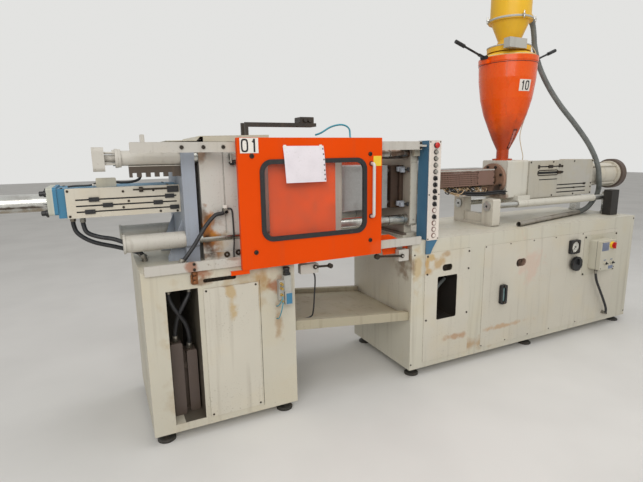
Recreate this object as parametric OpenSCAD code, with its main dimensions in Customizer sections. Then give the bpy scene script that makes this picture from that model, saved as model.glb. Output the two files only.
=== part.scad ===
// Injection moulding machine: two beds, an open clamp with a moving platen
// and mould on the left, and a travelling injection unit with hopper on the right.
// Machine frame while building: X = 0 at the left end of the left bed,
// Y = 0 at the beds' front, Z = 0 at the floor. home() moves it to its centre.

/* [Beds] */
// Depth of both beds, front to back
bed_depth = 770; // [740:5:800]
// Height of the beds' tops above the floor
bed_top = 985; // [950:5:1020]
// Height of the levelling feet
foot_height = 60; // [45:1:80]
// Diameter of a levelling foot's pad
foot_pad = 100; // [80:5:120]
// Length of the left bed
left_bed = 840; // [830:5:880]
// Length of the drop-out opening between the beds
drop_gap = 849; // [820:1:900]
// Length of the right bed
right_bed = 2432; // [2425:1:2520]
// Thickness of sheet-metal covers and plates
sheet = 3; // [2:0.5:4]
// Width of the open pump bay in the left bed
bay_width = 166; // [150:2:180]
// Width of the leg left of the pump bay
bay_leg = 114; // [100:2:125]
// Height of the cross beam's front lip in the opening
tray_lip = 60; // [40:2:80]
// Distance from the beds' tops down to the product tray
tray_drop = 410; // [390:5:430]
// Fall of the product tray from left to right
tray_fall = 87; // [60:1:110]

/* [Clamp] */
// Height of the clamp's axis above the beds
axis_rise = 351; // [345:1:370]
// Diameter of a tie bar
bar_d = 66; // [56:1:72]
// Side of the square platens
plate_size = 530; // [526:1:540]
// Distance from a platen's side to a tie bar's centre
bar_edge = 42; // [40:1:45]
// Thickness of the rear plate
rear_thick = 71; // [60:1:80]
// Distance from the left bed's end to the rear plate
rear_place = 258; // [250:1:265]
// Gap between the rear plate and the clamp housing
housing_gap = 23; // [15:1:30]
// Length of the clamp housing
housing_length = 408; // [400:1:430]
// Height of the clamp housing above the clamp's axis
housing_rise = 304; // [298:1:310]
// Diameter of the clamp piston
piston_d = 170; // [150:1:190]
// Diameter of the long ram rod at the left
ram_d = 94; // [80:1:100]
// Length of the ram rod left of the bed's end
ram_tail = 713; // [690:1:740]
// Depth of the piston's bore in the housing
bore_depth = 370; // [365:1:380]
// Thickness of the moving platen
platen_thick = 50; // [45:1:60]
// Thickness of the step on the moving platen
step_thick = 38; // [30:1:45]
// Thickness of the fixed platen
fixed_thick = 60; // [50:1:70]
// Distance from the opening's right side to the fixed platen
fixed_place = 60; // [50:1:70]
// Diameter of the tie bar nuts
nut_d = 100; // [90:1:106]
// Length of the tie bar nuts
nut_length = 51; // [40:1:60]
// Diameter of the bush around each tie bar on the moving platen
bush_d = 104; // [96:1:112]
// Hole through the fixed platen for the nozzle
nozzle_hole = 150; // [140:1:180]

/* [Mould] */
// Width of the mould, front to back
mould_width = 330; // [300:2:340]
// Height of the mould
mould_height = 290; // [270:2:310]
// Length of the moving mould half
moving_half = 374; // [360:1:390]
// Length of the fixed mould half
fixed_half = 89; // [80:1:100]
// Gap between the halves as the machine stands
mould_gap = 28; // [26:1:40]
// Diameter of a leader pin
leader_d = 24; // [16:1:30]
// Thickness of the ejector plate
ejector_thick = 24; // [18:1:30]
// Space for the ejector plate between its rails
ejector_space = 92; // [88:1:98]

/* [Stroke box] */
// Length of the stroke box left of the rear plate
stroke_length = 599; // [590:1:620]
// Height of the stroke box
stroke_height = 150; // [140:1:156]
// Depth of the stroke box, front to back
stroke_depth = 276; // [260:2:290]
// Thickness of the stroke box's end block
stroke_end = 45; // [35:1:55]
// Thickness of the cream plate in front of the stroke box
stroke_plate_thick = 12; // [8:1:16]
// Height of one slot in the stroke plate
stroke_slot = 8; // [6:1:12]
// Length of one barrel on the rear plate
barrel_stroke = 302; // [290:1:320]
// Diameter of the upper barrels
upper_barrel = 77; // [70:1:84]
// Diameter of the lower front tube
lower_front = 92; // [80:1:98]
// Diameter of the lower rear tube
lower_rear = 80; // [70:1:90]

/* [Gate] */
// Width of the sliding gate
gate_width = 895; // [880:1:900]
// Distance between the open gate and the control column
gate_open = 383; // [380:1:400]
// Width of the gate's window frame
window_width = 669; // [640:1:690]
// Height of the gate's window frame
window_height = 450; // [420:1:470]
// Corner radius of the window frame
window_round = 68; // [50:1:90]
// Width of the rubber seen around the pane
gasket_width = 26; // [20:1:32]
// Height of a gate rail
rail_height = 52; // [46:1:56]
// Thickness of a gate rail
rail_thick = 14; // [10:1:18]
// Diameter of the gate's handle tube
handle_d = 24; // [18:1:28]
// Height of the gate's handle
handle_height = 317; // [290:1:330]

/* [Control column] */
// Width of the control column
column_width = 97; // [90:1:104]
// Clearance between the column and the tie bar nuts behind it
column_clear = 12; // [10:1:30]
// Height of the control column above the bed
column_height = 655; // [650:1:680]
// Distance from one control to the next
control_pitch = 42.5; // [41:0.1:43]
// Diameter of a control's bezel ring
bezel_d = 30; // [26:1:34]
// Diameter of the stop button's head
stop_d = 38; // [32:1:40]

/* [Bed front] */
// Width of the bolted panel on the right bed
bolted_width = 410; // [400:1:420]
// Width of the long door on the right bed
door_width = 1550; // [1500:5:1580]
// Width of the window in the bolted panel
port_width = 177; // [160:1:190]
// Height of the window in the bolted panel
port_height = 315; // [290:1:330]
// Width of the isolator box
isolator_width = 200; // [180:2:220]
// Height of the isolator box
isolator_height = 247; // [230:1:260]
// Depth of the isolator box
isolator_depth = 102; // [90:1:110]
// Side of the square pressure gauge
gauge_size = 112; // [100:1:120]

/* [Injection unit] */
// Height of the guide rods above the bed
rod_rise = 155; // [152:1:160]
// Distance between the guide rods
rod_spacing = 316; // [310:1:322]
// Diameter of a guide rod
rod_d = 50; // [40:1:52]
// Outer diameter of the tubes that slide on the rods
slide_tube = 62; // [60:1:64]
// Distance from the right bed's start to the rod saddle
saddle_place = 888; // [880:1:900]
// Thickness of the rod saddle
saddle_thick = 80; // [60:1:90]
// Distance from the rod saddle to the feed block
block_place = 140; // [130:1:150]
// Length of the feed block
block_length = 235; // [230:1:250]
// Width of the feed block, front to back
block_width = 266; // [258:1:272]
// Height of the feed block's top above the bed
block_rise = 505; // [495:1:515]
// Height of the feed block's underside above the bed
block_foot = 200; // [195:1:210]
// Diameter of the round flange before the feed block
flange_d = 260; // [230:2:264]
// Length of the cylinder body behind the feed block
body_length = 806; // [790:1:820]
// Diameter of the injection cylinder
cylinder_d = 206; // [190:1:212]
// Length of the injection cylinder
cylinder_length = 454; // [440:1:480]
// Diameter of the drive motor's flange
motor_d = 277; // [260:1:290]
// Length of the drive motor with its cap
motor_length = 118; // [100:1:130]
// Thickness of the cream side cover
side_cover = 12; // [8:1:16]

/* [Barrel] */
// Diameter of the heated barrel
barrel_d = 100; // [90:1:108]
// Distance from the nozzle's tip to the fixed platen
nozzle_gap = 31; // [30:1:40]
// Diameter of the screw's flight
screw_d = 45; // [40:1:50]
// Diameter of the screw's root
screw_root = 30; // [26:1:34]
// Pitch of the screw's flight
screw_pitch = 80; // [70:5:100]
// Width of the barrel guard
guard_width = 170; // [160:1:180]
// Height of the barrel guard
guard_height = 124; // [118:1:130]

/* [Hopper] */
// Outer radius of the hopper's rim
hopper_r = 224; // [215:1:230]
// Height of the hopper
hopper_height = 789; // [770:1:800]
// Thickness of the hopper's wall
hopper_wall = 4; // [3:0.5:6]
// Outer radius of the hopper's outlet
outlet_r = 48; // [44:1:54]
// Outer radius of the loader's drum
loader_r = 151; // [140:1:160]
// Height of the loader's drum above its clamp band
loader_drum = 300; // [280:1:320]
// Length of a toggle clamp's lever
clamp_lever = 304; // [290:1:320]

/* [Fits] */
// Gap between a sliding piece and its guide
slide_gap = 0.3; // [0.2:0.05:0.5]
// Radial gap of a rod, shaft or pin in its hole
bore_gap = 0.3; // [0.2:0.05:0.5]

/* [Hidden] */
$fn = 48;
eps = 1;
axis_y = bed_depth / 2;
axis_z = bed_top + axis_rise;
half_bar = plate_size / 2 - bar_edge;
bar_ys = [axis_y - half_bar, axis_y + half_bar];
bar_zs = [axis_z - half_bar, axis_z + half_bar];
plate_y = [axis_y - plate_size / 2, axis_y + plate_size / 2];
plate_z = [axis_z - plate_size / 2, axis_z + plate_size / 2];
right_x = left_bed + drop_gap;
right_end = right_x + right_bed;

// clamp, left to right
rear_x = [rear_place, rear_place + rear_thick];
housing_x = [rear_x[1] + housing_gap, rear_x[1] + housing_gap + housing_length];
fixed_x = [right_x + fixed_place, right_x + fixed_place + fixed_thick];
mould_fixed_x = [fixed_x[0] - fixed_half, fixed_x[0]];
mould_moving_x = [mould_fixed_x[0] - mould_gap - moving_half, mould_fixed_x[0] - mould_gap];
platen_step = 3;
platen_x = [mould_moving_x[0] - step_thick - platen_thick, mould_moving_x[0]];
piston_start = housing_x[1] - 67;
mould_y = [axis_y - mould_width / 2, axis_y + mould_width / 2];
mould_z = [axis_z - mould_height / 2, axis_z + mould_height / 2];
clamp_base = 32;
spacer_wide = 50;
spacer_x = [mould_moving_x[0] + clamp_base, mould_moving_x[0] + clamp_base + ejector_space];
ejector_x = [spacer_x[0] + 4, spacer_x[0] + 4 + ejector_thick];
leader_in = 30;
leader_side = 36;
leader_foot = 60;
face_plate = 42;

// stroke box
stroke_x = [rear_x[0] - stroke_length, rear_x[0]];
stroke_y = [axis_y - stroke_depth / 2, axis_y + stroke_depth / 2];
stroke_z = [axis_z - stroke_height / 2, axis_z + stroke_height / 2];
stroke_plate_y = [stroke_y[0] - stroke_plate_thick, stroke_y[0]];
stroke_slots = [[43, 543, 0.20], [43, 543, 0.40], [43, 543, 0.61], [326, 497, 0.88]];
stroke_dogs = [[83, 0.20], [505, 0.20], [169, 0.40], [420, 0.40], [106, 0.61], [482, 0.61]];
stroke_slider = [496, 58, 0.85, 32];
dog_size = [46, 7, 20];

// gate and its rails
rail_y = [-rail_thick, 0];
upper_rail_z = [axis_z + 247, axis_z + 247 + rail_height];
lower_rail_z = [bed_top - 20, bed_top - 20 + rail_height];
rail_x = [5, fixed_x[0] - 12];
column_x = [fixed_x[1] - 12, fixed_x[1] - 12 + column_width];
gate_x = [column_x[0] - gate_open - gate_width, column_x[0] - gate_open];
gate_z = [lower_rail_z[0] - 20, upper_rail_z[1] + 21];
gate_flange = 28;
gate_y = [rail_y[0] - 3 - gate_flange, rail_y[0] - 3];
window_x = [gate_x[1] - 108 - window_width, gate_x[1] - 108];
window_z = [axis_z - 245, axis_z - 245 + window_height];
gasket_grip = 9;
gasket_step = 6;
pane_thick = 5;
handle_x = gate_x[1] - 76;
handle_y = gate_y[0] - 34;
handle_z = [window_z[0] + 96, window_z[0] + 96 + handle_height];
shoe_width = 70;

// position switches under the lower rail
switch_y = [4, 44];
left_switch = [left_bed + 43, left_bed + 160];
right_switch = [right_x - 103, right_x - 24];
left_pivot = [left_switch[1] - 24, bed_top - 84];
right_pivot = [right_switch[0] + 24, bed_top - 88];

// column and its controls
column_y = [-10, bar_ys[0] - nut_d / 2 - column_clear];
column_z = [bed_top, bed_top + column_height];
face_y = [column_y[0] - sheet - 1, column_y[0]];
control_x = (column_x[0] + column_x[1]) / 2 + 4;
control_top = column_z[1] - 31;
function control_z(i) = control_top - (i - 1) * control_pitch;
selector_places = [6, 7, 8, 9, 10, 12];
lamp_places = [2, 3, 4, 5];
blank_places = [11, 13, 14, 15];
shaft_d = 12;
stop_travel = 5;
bezel_high = 5;

// front of the right bed
panel_y = [-sheet, 0];
bolted_x = [right_x + 110, right_x + 110 + bolted_width];
panel_top = bed_top - 93;
port_x = [bolted_x[0] + 112, bolted_x[0] + 112 + port_width];
port_z = [panel_top - 179 - port_height, panel_top - 179];
slot_x = [port_x[0] + 41, port_x[0] + 129];
slot_z = [port_z[1] + 35, port_z[1] + 82];
door_x = [right_x + 652, right_x + 652 + door_width];
grip_x = [door_x[0] + 332, door_x[0] + 437];
grip_z = [bed_top - 295, bed_top - 235];
isolator_plate_x = [right_x + 1766, right_x + 2195];
isolator_x = [right_x + 1835, right_x + 1835 + isolator_width];
isolator_z = [bed_top - 163 - isolator_height, bed_top - 163];
isolator_y = [-2 * sheet - isolator_depth, -2 * sheet];
knob_x = isolator_x[0] + 136;
knob_z = isolator_z[1] - 40;
gauge_x = right_x + 1574;
gauge_z = bed_top - 257;
sight_x = right_x + 820;
valve_x = right_x + 1649;
valve_z = bed_top - 343;

// injection unit, left to right
rod_z = bed_top + rod_rise;
rod_ys = [axis_y - rod_spacing / 2, axis_y + rod_spacing / 2];
saddle_x = [right_x + saddle_place, right_x + saddle_place + saddle_thick];
block_x = [saddle_x[1] + block_place, saddle_x[1] + block_place + block_length];
block_y = [axis_y - block_width / 2, axis_y + block_width / 2];
block_z = [bed_top + block_foot, bed_top + block_rise];
flange_x = [block_x[0] - 30, block_x[0]];
body_x = [block_x[1], block_x[1] + body_length];
cylinder_x = [body_x[1], body_x[1] + cylinder_length];
motor_x = [cylinder_x[1], cylinder_x[1] + motor_length];
tube_x = [block_x[0] + 95, body_x[1] + 14];
leg_x = [right_end - 81, right_end - 21];
cover_y = [block_y[0] - side_cover, block_y[0]];
cover_z = [rod_z + slide_tube / 2 + 5, axis_z + 146];
barrel_x = [fixed_x[1] + nozzle_gap, flange_x[0]];
guard_x = [barrel_x[0] + 60, flange_x[0] - 58];
guard_z = [axis_z - 36, axis_z - 36 + guard_height];
sleeve_d = 110;
screw_tip = 130;
throat_d = 60;

// hopper and loader
hopper_x = block_x[0] + 78;
hopper_z = block_z[1];
rim_z = hopper_z + hopper_height;
lid_z = rim_z + 46;
plate_top = lid_z + 42;
funnel_z = plate_top + 48;
drum_z = funnel_z + 134;
drum_top = drum_z + 30 + loader_drum;
hinge_z = rim_z - 6;
hinge_out = 30;
hub_d = 30;

// suction hose and lance: points chosen by hand
hose_d = 46;
lance_d = 40;
hose_route = [[3060, 385, 2600], [3115, 402, 2600], [3172, 425, 2570], [3205, 435, 2500],
  [3228, 438, 2410], [3288, 430, 2262], [3379, 400, 2101], [3495, 360, 1946],
  [3640, 320, 1796], [3776, 280, 1641], [3860, 252, 1511], [3912, 240, 1400],
  [3952, 250, 1310], [3994, 270, 1254], [4030, 294, 1206], [4036, 310, 1150],
  [4012, 324, 1096], [3966, 330, 1046], [3905, 326, 1020], [3840, 313, 1012],
  [3780, 300, 1008.6]];
lance_route = [[3780, 300, 1005], [2760, 76, 1005]];
inlet = hose_route[0];

// held hoses and cables, each with its diameter
held_routes = [
  [24, [[-240, 360, 1262], [-240, 360, 1210], [-225, 345, 1165], [-170, 320, 1140],
    [-90, 300, 1120], [0, 290, 1070], [40, 290, 1020], [50, 290, 985]]],
  [24, [[-290, 420, 1262], [-290, 420, 1200], [-270, 410, 1150], [-200, 400, 1100],
    [-80, 390, 1060], [20, 385, 1020], [60, 380, 985]]],
  [20, [[420, 119, 1330], [420, 90, 1330], [400, 66, 1310], [370, 60, 1260],
    [350, 62, 1180], [346, 66, 1100], [346, 70, 1040], [346, 70, 985]]],
  [24, [[160, 130, 540], [160, 110, 610], [180, 90, 700], [215, 80, 770], [245, 90, 820],
    [250, 100, 870]]],
  [24, [[235, 150, 480], [235, 120, 560], [215, 100, 650], [170, 80, 730], [140, 90, 800],
    [135, 100, 870]]],
  [20, [[3573, -50, 575], [3573, -50, 540], [3590, -54, 470], [3637, -60, 383],
    [3700, -58, 290], [3760, -52, 200], [3785, -40, 150], [3790, -20, 140], [3790, -3, 140]]]];

front_y = isolator_y[0] - 34;
rear_y = bed_depth;
mid_x = (motor_x[1] - ram_tail) / 2;
mid_y = (front_y + rear_y) / 2;

// moves the machine from its building frame to its own centre on the floor
module home() {
  translate([-mid_x, -mid_y, 0]) children();
}

// box between two X, two Y and two Z values
module box(x, y, z) {
  translate([x[0], y[0], z[0]]) cube([x[1] - x[0], y[1] - y[0], z[1] - z[0]]);
}

// round bars along each axis
module bar_x(d, x, y, z) {
  translate([x[0], y, z]) rotate([0, 90, 0]) cylinder(d = d, h = x[1] - x[0]);
}

module bar_y(d, x, y, z) {
  translate([x, y[0], z]) rotate([-90, 0, 0]) cylinder(d = d, h = y[1] - y[0]);
}

module bar_z(d, x, y, z) {
  translate([x, y, z[0]]) cylinder(d = d, h = z[1] - z[0]);
}

// upright plate with round corners, seen from the front
module slab(x, y, z, r) {
  box([x[0] + r, x[1] - r], y, z);
  box(x, y, [z[0] + r, z[1] - r]);
  for (cx = [x[0] + r, x[1] - r], cz = [z[0] + r, z[1] - r])
    bar_y(2 * r, cx, y, cz);
}

// plate with round corners, seen from the end
module end_slab(x, y, z, r) {
  box(x, [y[0] + r, y[1] - r], z);
  box(x, y, [z[0] + r, z[1] - r]);
  for (cy = [y[0] + r, y[1] - r], cz = [z[0] + r, z[1] - r])
    bar_x(2 * r, x, cy, cz);
}

// flat shape drawn in X and Z, carried from one Y to another
module profile_y(points, y) {
  translate([0, y[1], 0]) rotate([90, 0, 0]) linear_extrude(y[1] - y[0]) polygon(points);
}

// flat shape drawn in Y and Z, carried from one X to another
module profile_x(points, x) {
  translate([x[0], 0, 0]) rotate([90, 0, 90]) linear_extrude(x[1] - x[0]) polygon(points);
}

// smooth line through points, and a round tube swept along it
function unit(v) = v / norm(v);
function blend(a, b, c, d, t) = (2 * b + (c - a) * t + (2 * a - 5 * b + 4 * c - d) * t * t
  + (3 * b - a - 3 * c + d) * t * t * t) / 2;
function smooth(p, n) = concat([for (i = [0 : len(p) - 2], k = [0 : n - 1])
  blend(p[max(i - 1, 0)], p[i], p[i + 1], p[min(i + 2, len(p) - 1)], k / n)], [p[len(p) - 1]]);
function heading(p, i) = unit(p[min(i + 1, len(p) - 1)] - p[max(i - 1, 0)]);
function carry(p, i, s) = i == len(p) ? s
  : carry(p, i + 1, concat(s, [level(s[i - 1], heading(p, i))]));
function level(v, h) = unit(v - (v * h) * h);
function first_side(h) = level(abs(h[2]) < 0.8 ? [0, 0, 1] : [0, 1, 0], h);

module swept(p, d, sides) {
  n = len(p);
  side = carry(p, 1, [first_side(heading(p, 0))]);
  rings = [for (i = [0 : n - 1], k = [0 : sides - 1])
    let (a = 360 * k / sides, h = heading(p, i), u = side[i], w = cross(h, u))
    p[i] + (u * cos(a) + w * sin(a)) * d / 2];
  skin = [for (i = [0 : n - 2], k = [0 : sides - 1]) let (m = (k + 1) % sides)
    [i * sides + k, (i + 1) * sides + k, (i + 1) * sides + m, i * sides + m]];
  polyhedron(rings, concat([[for (k = [0 : sides - 1]) k]], skin,
    [[for (k = [sides - 1 : -1 : 0]) (n - 1) * sides + k]]));
}

// left bed: welded box with the open pump bay, a pocket behind the seam and a slot
module base_left() {
  color([0.86, 0.83, 0.72]) home() difference() {
    box([0, left_bed], [0, bed_depth], [foot_height, bed_top]);
    box([bay_leg, bay_leg + bay_width], [-eps, bed_depth - 60], [foot_height + 45, bed_top - 115]);
    slab([bay_leg + 197, bay_leg + 378], [-eps, 30], [bed_top - 92, bed_top - 70], 10);
    box([left_bed - 216, left_bed - 213], [-eps, 4], [foot_height + 30, bed_top - 118]);
  }
}

// right bed: long welded box with the window's cavity and small openings
module base_right() {
  color([0.86, 0.83, 0.72]) home() difference() {
    box([right_x, right_end], [0, bed_depth], [foot_height, bed_top]);
    box([port_x[0] - 20, port_x[1] + 20], [-eps, 300], [port_z[0] - 20, port_z[1] + 10]);
    slab(slot_x, [-eps, 40], slot_z, 20);
    slab(grip_x, [-eps, 40], grip_z, 29);
  }
}

// sloping product tray between the beds, with a lip in front and behind
module base_tray() {
  x = [left_bed, right_x];
  z = [bed_top - tray_drop, bed_top - tray_drop - tray_fall];
  lip = [[x[0], z[0]], [x[1], z[1]], [x[1], z[1] - tray_lip], [x[0], z[0] - tray_lip]];
  floor_z = tray_lip * 0.6;
  floor_plate = [[x[0], z[0] - floor_z + 4], [x[1], z[1] - floor_z + 4],
    [x[1], z[1] - floor_z], [x[0], z[0] - floor_z]];
  color([0.84, 0.81, 0.72]) home() {
    profile_y(lip, [20, 60]);
    profile_y(floor_plate, [60, bed_depth - 60]);
    profile_y(lip, [bed_depth - 60, bed_depth - 20]);
  }
}

// one foot: pad with a turned edge, stem and lock nut
module foot() {
  pad = 16;
  rotate_extrude() polygon([[0, 0], [foot_pad / 2, 0], [foot_pad / 2, pad * 0.6],
    [foot_pad / 2 - 8, pad], [22, pad + 4], [18, pad + 6], [18, foot_height - 18],
    [28, foot_height - 18], [28, foot_height], [0, foot_height]]);
}

module levelling_feet() {
  inset = 65;
  xs = [inset, left_bed - inset, right_x + inset, (right_x + right_end) / 2, right_end - inset];
  color([0.35, 0.35, 0.34]) home()
    for (x = xs, y = [inset, bed_depth - inset]) translate([x, y, 0]) foot();
}

// sheet panels on the beds' fronts: left panel, bolted panel with its window, long door
module cover_panels() {
  panel_low = foot_height + 40;
  color([0.88, 0.85, 0.75]) home() {
    slab([bay_leg + 194, left_bed - 225], panel_y, [panel_low, bed_top - 125], 6);
    difference() {
      slab(bolted_x, panel_y, [panel_low, panel_top], 6);
      slab(port_x, [-sheet - eps, eps], port_z, 12);
      slab(slot_x, [-sheet - eps, eps], slot_z, 20);
    }
    difference() {
      slab(door_x, panel_y, [panel_low, bed_top - 95], 6);
      slab(grip_x, [-sheet - eps, eps], grip_z, 29);
    }
  }
}

// two flat rails that the gate slides on, with the brackets that carry them
module gate_rails() {
  color([0.80, 0.78, 0.70]) home() {
    slab(rail_x, rail_y, upper_rail_z, 4);
    slab([rail_x[0] + 15, rail_x[1] + 15], rail_y, lower_rail_z, 4);
    for (x = [housing_x[0] + 20, housing_x[1] - 70])
      box([x, x + 50], [0, plate_y[0]], [upper_rail_z[0] + 6, upper_rail_z[1] - 6]);
    box([rail_x[1] - 40, fixed_x[0] + 36], [0, plate_y[0] + 60], [plate_z[1], plate_z[1] + 12]);
    box([rail_x[1] - 40, rail_x[1] - 28], [0, plate_y[0]], [plate_z[1] + 12, upper_rail_z[1] - 6]);
  }
}

// bolt heads on the rails, panels and stroke box
module machine_bolts() {
  bolt_d = 20;
  bolt_head = 9;
  screw_head = 13;
  y = [rail_y[0] - 2, rail_y[0]];
  upper_mid = (upper_rail_z[0] + upper_rail_z[1]) / 2;
  color([0.30, 0.29, 0.27]) home() {
    for (x = [246, 354, 456]) bar_y(bolt_d, x, y, upper_mid);
    for (z = [upper_rail_z[0] + 11, upper_rail_z[1] - 11]) bar_y(bolt_d - 4, rail_x[1] - 11, y, z);
    for (z = [lower_rail_z[0] + 11, lower_rail_z[1] - 11]) bar_y(bolt_d - 4, 267, y, z);
    for (x = [bolted_x[0] + 20, bolted_x[1] - 20], z = [panel_top - 24, panel_top - 150, panel_top - 482])
      bar_y(screw_head, x, [panel_y[0] - 4, panel_y[0]], z);
    for (y2 = [stroke_y[0] + 20, stroke_y[1] - 20], z = [stroke_z[0] + 18, stroke_z[1] - 18])
      bar_x(bolt_d, [stroke_x[0] - stroke_end - bolt_head, stroke_x[0] - stroke_end], y2, z);
  }
}

// rear plate: square plate on two feet with gussets, bored for the ram
module rear_plate() {
  foot_wide = 110;
  gusset = [[rear_x[0], bed_top], [rear_x[0], axis_z - 120], [rear_x[0] - 90, bed_top + 20],
    [rear_x[0] - 90, bed_top]];
  color([0.52, 0.56, 0.60]) home() {
    difference() {
      end_slab(rear_x, plate_y, plate_z, 14);
      bar_x(ram_d + 2 * bore_gap, [rear_x[0] - eps, rear_x[1] + eps], axis_y, axis_z);
    }
    for (y = [plate_y[0] + 14, plate_y[1] - foot_wide - 14])
      box(rear_x, [y, y + foot_wide], [bed_top, plate_z[0] + eps]);
    for (y = [stroke_y[0] - 40, stroke_y[1] + 18]) difference() {
      profile_y(gusset, [y, y + 22]);
      for (by = bar_ys) bar_x(lower_front + 6, [rear_x[0] - 100, rear_x[0] + eps], by, bar_zs[0]);
    }
  }
}

// clamp housing: cast block bored for the piston, the ram and the tie bars
module clamp_housing() {
  x = housing_x;
  top = axis_z + housing_rise;
  seam = x[0] + 126;
  color([0.85, 0.85, 0.81]) home() difference() {
    union() {
      end_slab(x, plate_y, [axis_z - 230, top], 34);
      box(x, [plate_y[0] + 20, plate_y[1] - 20], [bed_top, axis_z]);
      box([x[0], x[1]], plate_y, [bed_top, bed_top + 40]);
    }
    bar_x(piston_d + 2 * bore_gap, [x[1] - bore_depth, x[1] + eps], axis_y, axis_z);
    bar_x(ram_d + 2 * bore_gap, [x[0] - eps, x[1]], axis_y, axis_z);
    for (y = bar_ys, z = bar_zs)
      bar_x(bar_d + 2 * bore_gap, [x[0] - eps, x[1] + eps], y, z);
    difference() {
      box([seam, seam + 7], [plate_y[0] - eps, plate_y[1] + eps], [axis_z - 200, top + eps]);
      end_slab([seam - eps, seam + 8], [plate_y[0] + 6, plate_y[1] - 6],
        [axis_z - 230, top - 6], 34);
    }
  }
}

// bent sheet cover over the housing
module top_cover() {
  base = axis_z + housing_rise;
  x = [rear_x[0] - 66, rear_x[1] + 14, housing_x[0] + 30, housing_x[1] - 6];
  outer = [[x[0], base + 6], [x[1], base + 8], [x[1] + 22, base + 30], [x[3], base + 37],
    [x[3], base], [x[3] - sheet, base], [x[3] - sheet, base + 33], [x[1] + 24, base + 26],
    [x[1] + 4, base + 4], [x[0], base + 2]];
  bridge = [housing_x[1] - 78, housing_x[1] - 58, piston_start + 463];
  bridge_z = [base + 98, base + 120];
  valve_x2 = [bridge[2] - 112, bridge[2] - 14];
  color([0.86, 0.84, 0.76]) home() {
    profile_y(outer, plate_y);
    for (y = [axis_y - 50, axis_y + 30]) {
      box([bridge[0], bridge[1]], [y, y + 20], [base + 26, bridge_z[1]]);
      box([bridge[0], bridge[2]], [y, y + 20], bridge_z);
    }
    box([bridge[2] - 20, bridge[2]], [axis_y - 30, axis_y + 30], bridge_z);
    slab(valve_x2, [axis_y - 44, axis_y + 44], [bridge_z[1], bridge_z[1] + 38], 5);
    bar_y(26, valve_x2[0] + 34, [axis_y - 60, axis_y - 44], bridge_z[1] + 19);
    bar_y(26, valve_x2[0] + 66, [axis_y - 60, axis_y - 44], bridge_z[1] + 19);
    for (y = [plate_y[0], plate_y[1] - sheet])
      profile_y([[x[2], base], [x[3] - sheet, base], [x[3] - sheet, base + 33],
        [x[2], base + 26]], [y, y + sheet]);
  }
}

// tie bars with ring grooves near the mould and nuts behind the fixed platen
module tie_bars() {
  groove = 6;
  grooves = [fixed_x[0] - 152, fixed_x[0] - 28];
  color([0.72, 0.72, 0.70]) home() for (y = bar_ys, z = bar_zs) {
    difference() {
      bar_x(bar_d, [rear_x[1], fixed_x[1] + nut_length], y, z);
      for (g = grooves) difference() {
        bar_x(bar_d + 2, [g - groove, g], y, z);
        bar_x(bar_d - 8, [g - groove - eps, g + eps], y, z);
      }
    }
    difference() {
      bar_x(nut_d, [fixed_x[1], fixed_x[1] + nut_length - 8], y, z);
      bar_x(bar_d - 2, [fixed_x[1] - eps, fixed_x[1] + nut_length], y, z);
      for (a = [0, 90]) translate([fixed_x[1] + nut_length - 24, y, z]) rotate([a, 0, 0])
        box([0, 17], [-nut_d, nut_d], [-7, 7]);
    }
  }
}

// fixed platen on its pedestal, with the nozzle's cone and the cream strip in front
module fixed_platen() {
  strip = 5;
  color([0.74, 0.75, 0.74]) home() {
    difference() {
      union() {
        end_slab(fixed_x, plate_y, plate_z, 14);
        box(fixed_x, [plate_y[0] + 60, plate_y[1] - 60], [bed_top, plate_z[0] + 20]);
        box([fixed_x[0] - 30, fixed_x[1] + 40], [plate_y[0] + 30, plate_y[1] - 30],
          [bed_top, bed_top + 30]);
      }
      bar_x(nozzle_hole, [fixed_x[0] - eps, fixed_x[1] + eps], axis_y, axis_z);
      for (y = bar_ys, z = bar_zs)
        bar_x(bar_d + 2 * bore_gap, [fixed_x[0] - eps, fixed_x[1] + eps], y, z);
    }
    difference() {
      slab([fixed_x[0] + 2, fixed_x[1] - 2], [plate_y[0] - strip, plate_y[0]],
        [plate_z[0] + 14, plate_z[1] - 105], 4);
      bar_y(12, (fixed_x[0] + fixed_x[1]) / 2, [plate_y[0] - strip - eps, plate_y[0] + eps],
        plate_z[0] + 40);
    }
  }
}

// upper barrel unit with flange rings, four studs and a rounded cap
module upper_unit(y, z) {
  flange = 14;
  stud_d = 10;
  end = rear_x[0] - barrel_stroke;
  studs = [end - 27 - 36, end];
  bar_x(upper_barrel, [end + flange, rear_x[0]], y, z);
  bar_x(upper_barrel + 15, [end, end + flange], y, z);
  bar_x(upper_barrel + 19, [end - 14, end], y, z);
  bar_x(upper_barrel * 0.5, studs, y, z);
  for (sy = [-28, 28], sz = [-28, 28]) bar_x(stud_d, studs, y + sy, z + sz);
  end_slab([studs[0] - 55, studs[0]], [y - 45, y + 45], [z - 64, z + 56], 22);
}

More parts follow.
